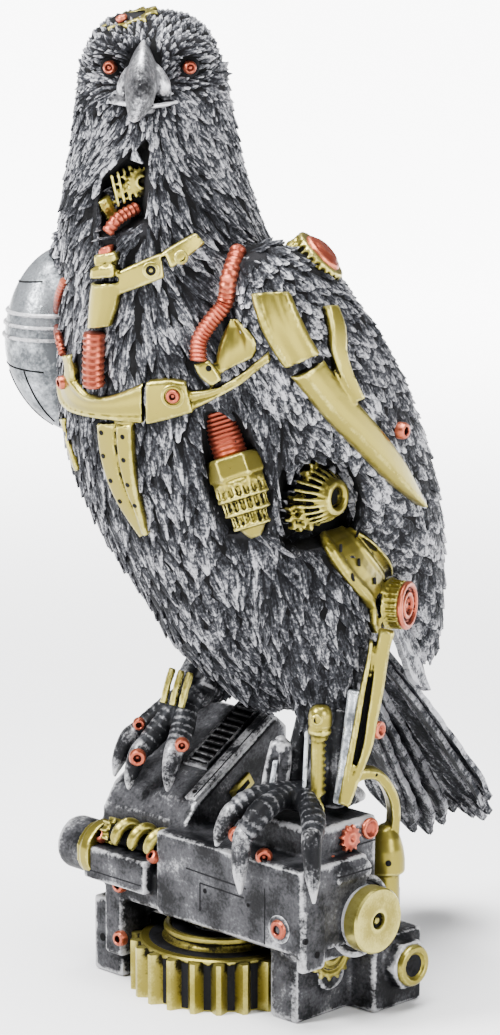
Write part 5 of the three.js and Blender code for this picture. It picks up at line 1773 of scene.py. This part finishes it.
class EAGLE_OT_plinth_details(bpy.types.Operator):
    """Models the ramp's vents and rail, and the casting's panel lines and holes"""

    bl_idname = "eagle.plinth_details"
    bl_label = "Plinth Details"

    def execute(self, context):
        tray = Tray("detail", "plinth")
        steel, dark, brass = tray.fine("steel"), tray.fine("dark"), tray.fine("brass")
        slope = Matrix.Rotation(math.radians(31.7), 4, "X")
        ramp = Matrix.Translation((0, 0, 69.5)) @ slope
        # the vents: slots of painted shade, a near-black sheet, between slanting fins, in a raised frame
        block(dark, (-21.4, -5, -0.6), (-13.4, 21.5, 0.1), 0, ramp)
        for k in range(10):
            up = -4.6 + 2.6 * k
            lean = ramp @ Matrix.Translation((0, up + 0.5, 0.35)) @ Matrix.Rotation(math.radians(-24), 4, "X")
            block(steel, (-21.2, -0.75, -0.5), (-13.6, 0.75, 0.45), 0.2, lean)
        for low, high in (((-22.6, -6, -0.5), (-21.2, 22, 0.9)), ((-13.6, -6, -0.5), (-12.4, 22, 0.9)),
                          ((-22.6, -7, -0.5), (-12.4, -5.4, 0.9))):
            block(steel, low, high, 0.3, ramp)
        # the rail along its edge, with a near-black line of painted shade on either side, and the slotted
        # plate below
        block(steel, (-10.9, -19.4, -0.6), (-6.3, 19.4, 1.0), 0.35, ramp)
        for x, lift in ((-11.3, 0.0), (-7.5, 1.0), (-6.0, -1.2)):
            seam(dark, ramp @ Vector((x, -18.5, lift)), ramp @ Vector((x, 19, lift)), slope @ UP, 0.5)
        turned(dark, [(0.8, -0.5), (0.8, 0.15), (0.5, 0.2)], slope @ UP, ramp @ Vector((-8.8, -16.5, 1.0)),
               14)
        plate = Matrix.Translation((-6.2, 2.1, 60.3)) @ slope
        block(brass, (-0.5, -4.6, -2.3), (1.2, 4.6, 2.3), 0.4, plate)
        # the plate's slot is near-black: painted shade
        block(dark, (0.9, -3.0, -0.8), (1.35, 3.0, 0.8), 0.1, plate)
        # panel lines and holes in the front and the end, near-black as painted shade
        for points in FRONT_SEAMS:
            start, end = (on_plane(px, py, AHEAD * 28, AHEAD) for px, py in points)
            seam(dark, start, end, AHEAD)
        seam(dark, Vector((50, -13.5, 47.6)), Vector((50, 0.5, 47.6)), LEFT)
        seam(dark, Vector((-41, -30, 34)), Vector((-16, -30, 34)), AHEAD, 0.35)
        seam(dark, Vector((34, -28, 27)), Vector((34, -28, 44)), AHEAD, 0.35)
        seam(dark, Vector((44, -10, 53.2)), Vector((44, 8, 53.2)), LEFT, 0.4)
        for px, py, place, axis, size in CASTING_HOLES:
            turned(dark, [(size, -0.6), (size, 0.1), (0.6 * size, 0.12)], axis,
                   on_plane(px, py, place, axis), 16)
        turned(steel, [(4.2, -0.5), (4.2, 0.2), (3.9, 0.4), (3.2, 0.4)], AHEAD, Vector((40, -28, 33)), 32)
        # bolts on the hidden back and ends, plain
        for place, axis in (
            ((-38, 25, 42), BACKWARDS), ((-38, 25, 28), BACKWARDS), ((24, 25, 42), BACKWARDS),
                            ((24, 25, 28), BACKWARDS),
            ((-44, -12, 45), -LEFT), ((-44, 18, 45), -LEFT), ((-44, 18, 28), -LEFT), ((-44, -18, 8), -LEFT),
                            ((-44, 14, 8), -LEFT),
        ):
            turned(steel, [(2.2, -0.5), (2.2, 0.9), (1.8, 1.3), (0.6, 1.3)], axis, Vector(place), 6)
        # near-black panel lines on the back: painted shade
        for height in (24.5, 36):
            seam(dark, Vector((-42, 25, height)), Vector((30, 25, height)), BACKWARDS, 0.5)
        for x in (-34, -8, 18):
            seam(dark, Vector((x, 25, 24.5)), Vector((x, 25, 36)), BACKWARDS, 0.5)
            block(steel, (x + 4, 24.6, 27.5), (x + 20, 25.9, 33.5), 0.4)
        tray.finish()
        return {"FINISHED"}


# The large gear's stepped collar: radius and height.
GEAR_COLLAR = [
    (18.4, 0), (18.6, 1.6), (17.4, 2.2), (17.0, 3.0), (17.0, 3.6), (17.8, 4.2), (17.8, 5.4), (17.2, 5.9),
    (16.1, 5.8), (15.4, 5.0),
]
# The end disc's drum, hub and screw: radius and height.
END_DRUM = [
    (9.3, 3.4), (9.9, 3.8), (9.9, 8.0), (9.4, 8.6), (4.0, 8.7), (2.6, 8.6), (2.3, 7.2), (1.3, 7.0),
    (1.1, 7.8), (0.5, 8.1),
]
# The pipe with its flange and dome: radius and height.
DOMED_PIPE = [
    (4.4, 0), (4.4, 30.4), (3.9, 30.6), (3.9, 31.3), (5.6, 31.5), (6.0, 32), (6.0, 35.5), (5.5, 39),
    (4.5, 42.5), (3, 45), (1.4, 46.3),
]
# Pixels of the pipe and its strap, each with its distance in front of the middle.
PLINTH_SPOTS = {
    "pipe_hole": (388.5, 863.5, 18.9),
    "arch": (
        (350, 778, 22), (363, 772, 20.5), (377, 774, 18), (388, 788, 15.5), (393.5, 806, 13.5),
        (393, 831, 12),
    ),
    "arch_heart": (360, 815, 18),
    "arch_screw": (376, 774.5, 20.6),
}


class EAGLE_OT_plinth_brass(bpy.types.Operator):
    """Models the plinth's large gear, worm, end disc, pipe, arch, nut ring and small rivets"""

    bl_idname = "eagle.plinth_brass"
    bl_label = "Plinth Brass and Copper"

    def execute(self, context):
        tray = Tray("plinth", "plinth")
        brass, copper = tray["brass"], tray["copper"]
        centre = Vector((-4.8, -6.9, 0))
        gear(tray.fine("brass"), 22, 28, 3.4, 15.4, UP, centre, tooth_share=0.72, rows=4)
        # a near-black drum inside the teeth: painted shade in the tooth gaps
        turned(tray.fine("dark"), [(24.9, 0.5), (24.9, 14.9)], UP, centre, 88)
        turned(tray.fine("brass"), [(25, 0), (25.2, 1.2), (24.6, 1.7), (22.4, 1.7)], UP, centre + UP * 14.4,
               72)
        # near-black top between the rim and the collar: painted shade
        turned(tray.fine("dark"), [(22.6, 0.5), (22.3, 1.9), (18, 1.9)], UP, centre + UP * 14.4, 48)
        turned(tray.fine("brass"), GEAR_COLLAR, UP, centre + UP * 14.6, 64)
        # near-black inside the collar: painted shade
        turned(tray.fine("dark"), [(15.7, 4.8), (15.2, 5.3)], UP, centre + UP * 14.6, 48)
        for x in (-29.5, -22.2, -15.2):
            lobe = []
            for k in range(9):
                a = math.radians(-35 + 24 * k)
                lobe.append(Vector((x + 4.6 * k / 8, -25.2 - 3.4 * math.cos(a), 46.2 + 4.2 * math.sin(a))))
            tapered(brass, lobe, (1.2, 1.9, 2.1, 2.1, 2.1, 2.1, 2.1, 1.9, 1.2), sides=6, steps=3, flat=0.8)
        # near-black core under the worm's lobes: painted shade
        rod(tray["dark"], Vector((-37, -24, 45.5)), Vector((-11, -24, 45.5)), 3.0, 3.0, 20)
        gear(brass, 9, 4.4, 1.4, 3.0, LEFT, Vector((-36.5, -24, 46)))
        turned(brass, [(9.4, 0), (9.4, 3.6), (8.4, 4.2), (8.4, 6)], -LEFT, Vector((-38.5, -22, 38.5)), 48)
        # the end disc: a brass drum with a recessed hub and its screw
        disc = Vector((46.6, -2, 33))
        turned(tray.fine("steel"), [(9.5, -3), (9.5, 3.4), (9.2, 3.8)], LEFT, disc, 56)
        turned(tray.fine("steel"), [(12.3, -0.6), (12.6, 0.2), (12.2, 1.0), (10.8, 1.0), (10.4, 0.2)], LEFT,
               disc + LEFT * 0.8, 64)
        turned(tray.fine("brass"), END_DRUM, LEFT, disc, 64)
        # the hub's hole near-black: painted shade
        turned(tray.fine("dark"), [(2.3, 7.0), (2.3, 7.3), (1.2, 7.35)], LEFT, disc, 24)
        # the domed pipe and its strap
        pipe = Vector((37.5, 19.5, 8))
        turned(brass, DOMED_PIPE, UP, pipe, 40)
        # the pipe's hole near-black: painted shade
        turned(tray.fine("dark"), [(0.9, -1), (0.9, 0.3), (0.6, 0.4)], TO_CAMERA,
               facing(*PLINTH_SPOTS["pipe_hole"]), 14)
        arch = [facing(*spot) for spot in PLINTH_SPOTS["arch"]]
        heart = facing(*PLINTH_SPOTS["arch_heart"])
        strap(brass, arch, lambda t: (spline(arch, t) - heart).normalized(), 4.4, 3.2, 30)
        # the arch's screw hole near-black: painted shade
        turned(tray.fine("dark"), [(0.6, -1), (0.6, 0.2), (0.4, 0.3)], TO_CAMERA,
               facing(*PLINTH_SPOTS["arch_screw"]), 12)
        # the hexagonal nut's brass ring
        nut = Vector((50.4, 17, 14))
        turned(brass, [(6.4, 0), (6.4, 1.4), (5.8, 2.2), (4.2, 2.2), (3.9, 1.2)], LEFT, nut, 36)
        # the nut's hole near-black: painted shade
        turned(tray.fine("dark"), [(3.9, 0.5), (3.9, 1.3)], LEFT, nut, 24)
        # small wheels at the end block
        gear(copper, 11, 4.3, 1.1, 2.0, LEFT, Vector((43.6, -3.4, 56.3)), hub=1.9)
        turned(copper, [(3.0, 0), (3.4, 0.5), (3.2, 1.6), (2.4, 1.8), (1.8, 0.8), (1.0, 0.8)], LEFT,
               Vector((43.8, 5.2, 57.4)), 24)
        gear(brass, 14, 9, 1.4, 2.4, LEFT, Vector((36.4, -4, 20)), hub=4)
        # copper rivets on the front
        for place, axis, radius in (
            ((-28.5, -27.2, 31), AHEAD, 2.5), ((-28.5, -27.2, 14), AHEAD, 2.4), ((40, -28, 33), AHEAD, 3.0),
            ((-12.6, -28.4, 43.6), (AHEAD + UP * 0.7).normalized(), 2.0),
                                    ((-38.5, -25.5, 44), (AHEAD + UP * 0.7).normalized(), 2.2),
            ((44, -10.5, 50.8), (LEFT + UP * 0.4).normalized(), 1.7),
        ):
            rivet(tray.fine("copper"), Vector(place), axis, radius, 1.4)
        tray.finish(voxel=0.5)
        return {"FINISHED"}


class EAGLE_OT_stage(bpy.types.Operator):
    """Sets the pale floor, the soft studio light and the camera"""

    bl_idname = "eagle.stage"
    bl_label = "Stage"

    def execute(self, context):
        scene = context.scene
        bm = bmesh.new()
        bmesh.ops.create_grid(bm, x_segments=1, y_segments=1, size=9.0)
        mesh = bpy.data.meshes.new("floor")
        bm.to_mesh(mesh)
        bm.free()
        floor = bpy.data.objects.new("floor", mesh)
        scene.collection.objects.link(floor)
        pale = Paint("pale_floor")
        # The floor glows more the farther it is from the figurine, from 0.3 m out: painted light that whitens
        # the far floor.
        reach = pale.node("ShaderNodeVectorMath", {"operation": "LENGTH"}, {0: pale.place()}, 1)
        painted_glow = pale.mix((0, 0, 0, 1), (1, 1, 1, 1), reach.between(0.3, 1.4))
        mesh.materials.append(
            pale.wire(Base_Color=(0.85, 0.85, 0.86, 1), Roughness=0.8, Emission_Color=painted_glow,
                      Emission_Strength=9.0)
        )
        floor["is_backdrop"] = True

        camera = bpy.data.objects.new("camera", bpy.data.cameras.new("camera"))
        scene.collection.objects.link(camera)
        camera.location = CAMERA_AT * TO_METRES
        camera.rotation_euler = VIEW_AHEAD.to_track_quat("-Z", "Y").to_euler()
        camera.data.lens, camera.data.sensor_width = LENS, SENSOR
        camera.data.clip_start, camera.data.clip_end = 0.01, 20
        scene.camera = camera

        def lamp(name, place, aim, size, power):
            data = bpy.data.lights.new(name, "AREA")
            data.shape, data.size, data.energy = "SQUARE", size, power
            holder = bpy.data.objects.new(name, data)
            scene.collection.objects.link(holder)
            holder.location = place
            holder.rotation_euler = (Vector(aim) - Vector(place)).to_track_quat("-Z", "Y").to_euler()

        lamp("key", (-0.35, -1.0, 0.95), (0, -0.02, 0.17), 0.35, 40)
        lamp("fill", (1.2, -0.05, 0.5), (0, 0, 0.12), 0.5, 14)
        lamp("top", (0.0, -0.1, 1.15), (0, 0, 0.1), 0.9, 60)
        world = bpy.data.worlds.new("studio")
        world.use_nodes = True
        world.node_tree.nodes["Background"].inputs[0].default_value = (1, 1, 1, 1)
        world.node_tree.nodes["Background"].inputs[1].default_value = 0.22
        scene.world = world
        return {"FINISHED"}


class EAGLE_PT_panel(bpy.types.Panel):
    """Lists the figurine's makers in the sidebar"""

    bl_label = "Mechanical Eagle"
    bl_idname = "EAGLE_PT_panel"
    bl_space_type = "VIEW_3D"
    bl_region_type = "UI"
    bl_category = "Eagle"

    def draw(self, context):
        for maker in MAKERS:
            self.layout.operator(maker.bl_idname)
        for settings in (context.scene.eagle_sizes, context.scene.eagle_colours):
            for key in settings.__annotations__:
                self.layout.prop(settings, key)


MAKERS = (
    EAGLE_OT_stage, EAGLE_OT_body, EAGLE_OT_plumage, EAGLE_OT_flight_feathers, EAGLE_OT_head, EAGLE_OT_throat,
    EAGLE_OT_breast, EAGLE_OT_flank, EAGLE_OT_wing_fittings, EAGLE_OT_thigh, EAGLE_OT_legs,
          EAGLE_OT_plinth_casting,
    EAGLE_OT_plinth_details, EAGLE_OT_plinth_brass,
)
CLASSES = (EagleSizes, EagleColours, *MAKERS, EAGLE_PT_panel)


def register():
    for cls in CLASSES:
        bpy.utils.register_class(cls)
    bpy.types.Scene.eagle_sizes = PointerProperty(type=EagleSizes)
    bpy.types.Scene.eagle_colours = PointerProperty(type=EagleColours)


def unregister():
    del bpy.types.Scene.eagle_colours, bpy.types.Scene.eagle_sizes
    for cls in reversed(CLASSES):
        bpy.utils.unregister_class(cls)


def main():
    register()
    for maker in MAKERS:
        group, name = maker.bl_idname.split(".")
        getattr(getattr(bpy.ops, group), name)()
    corners = [list(corner) for corner in (*CAD_BOX, *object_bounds())]
    {"cad": corners[:2], "visual": corners[2:]}


if __name__ == "__main__":
    main()
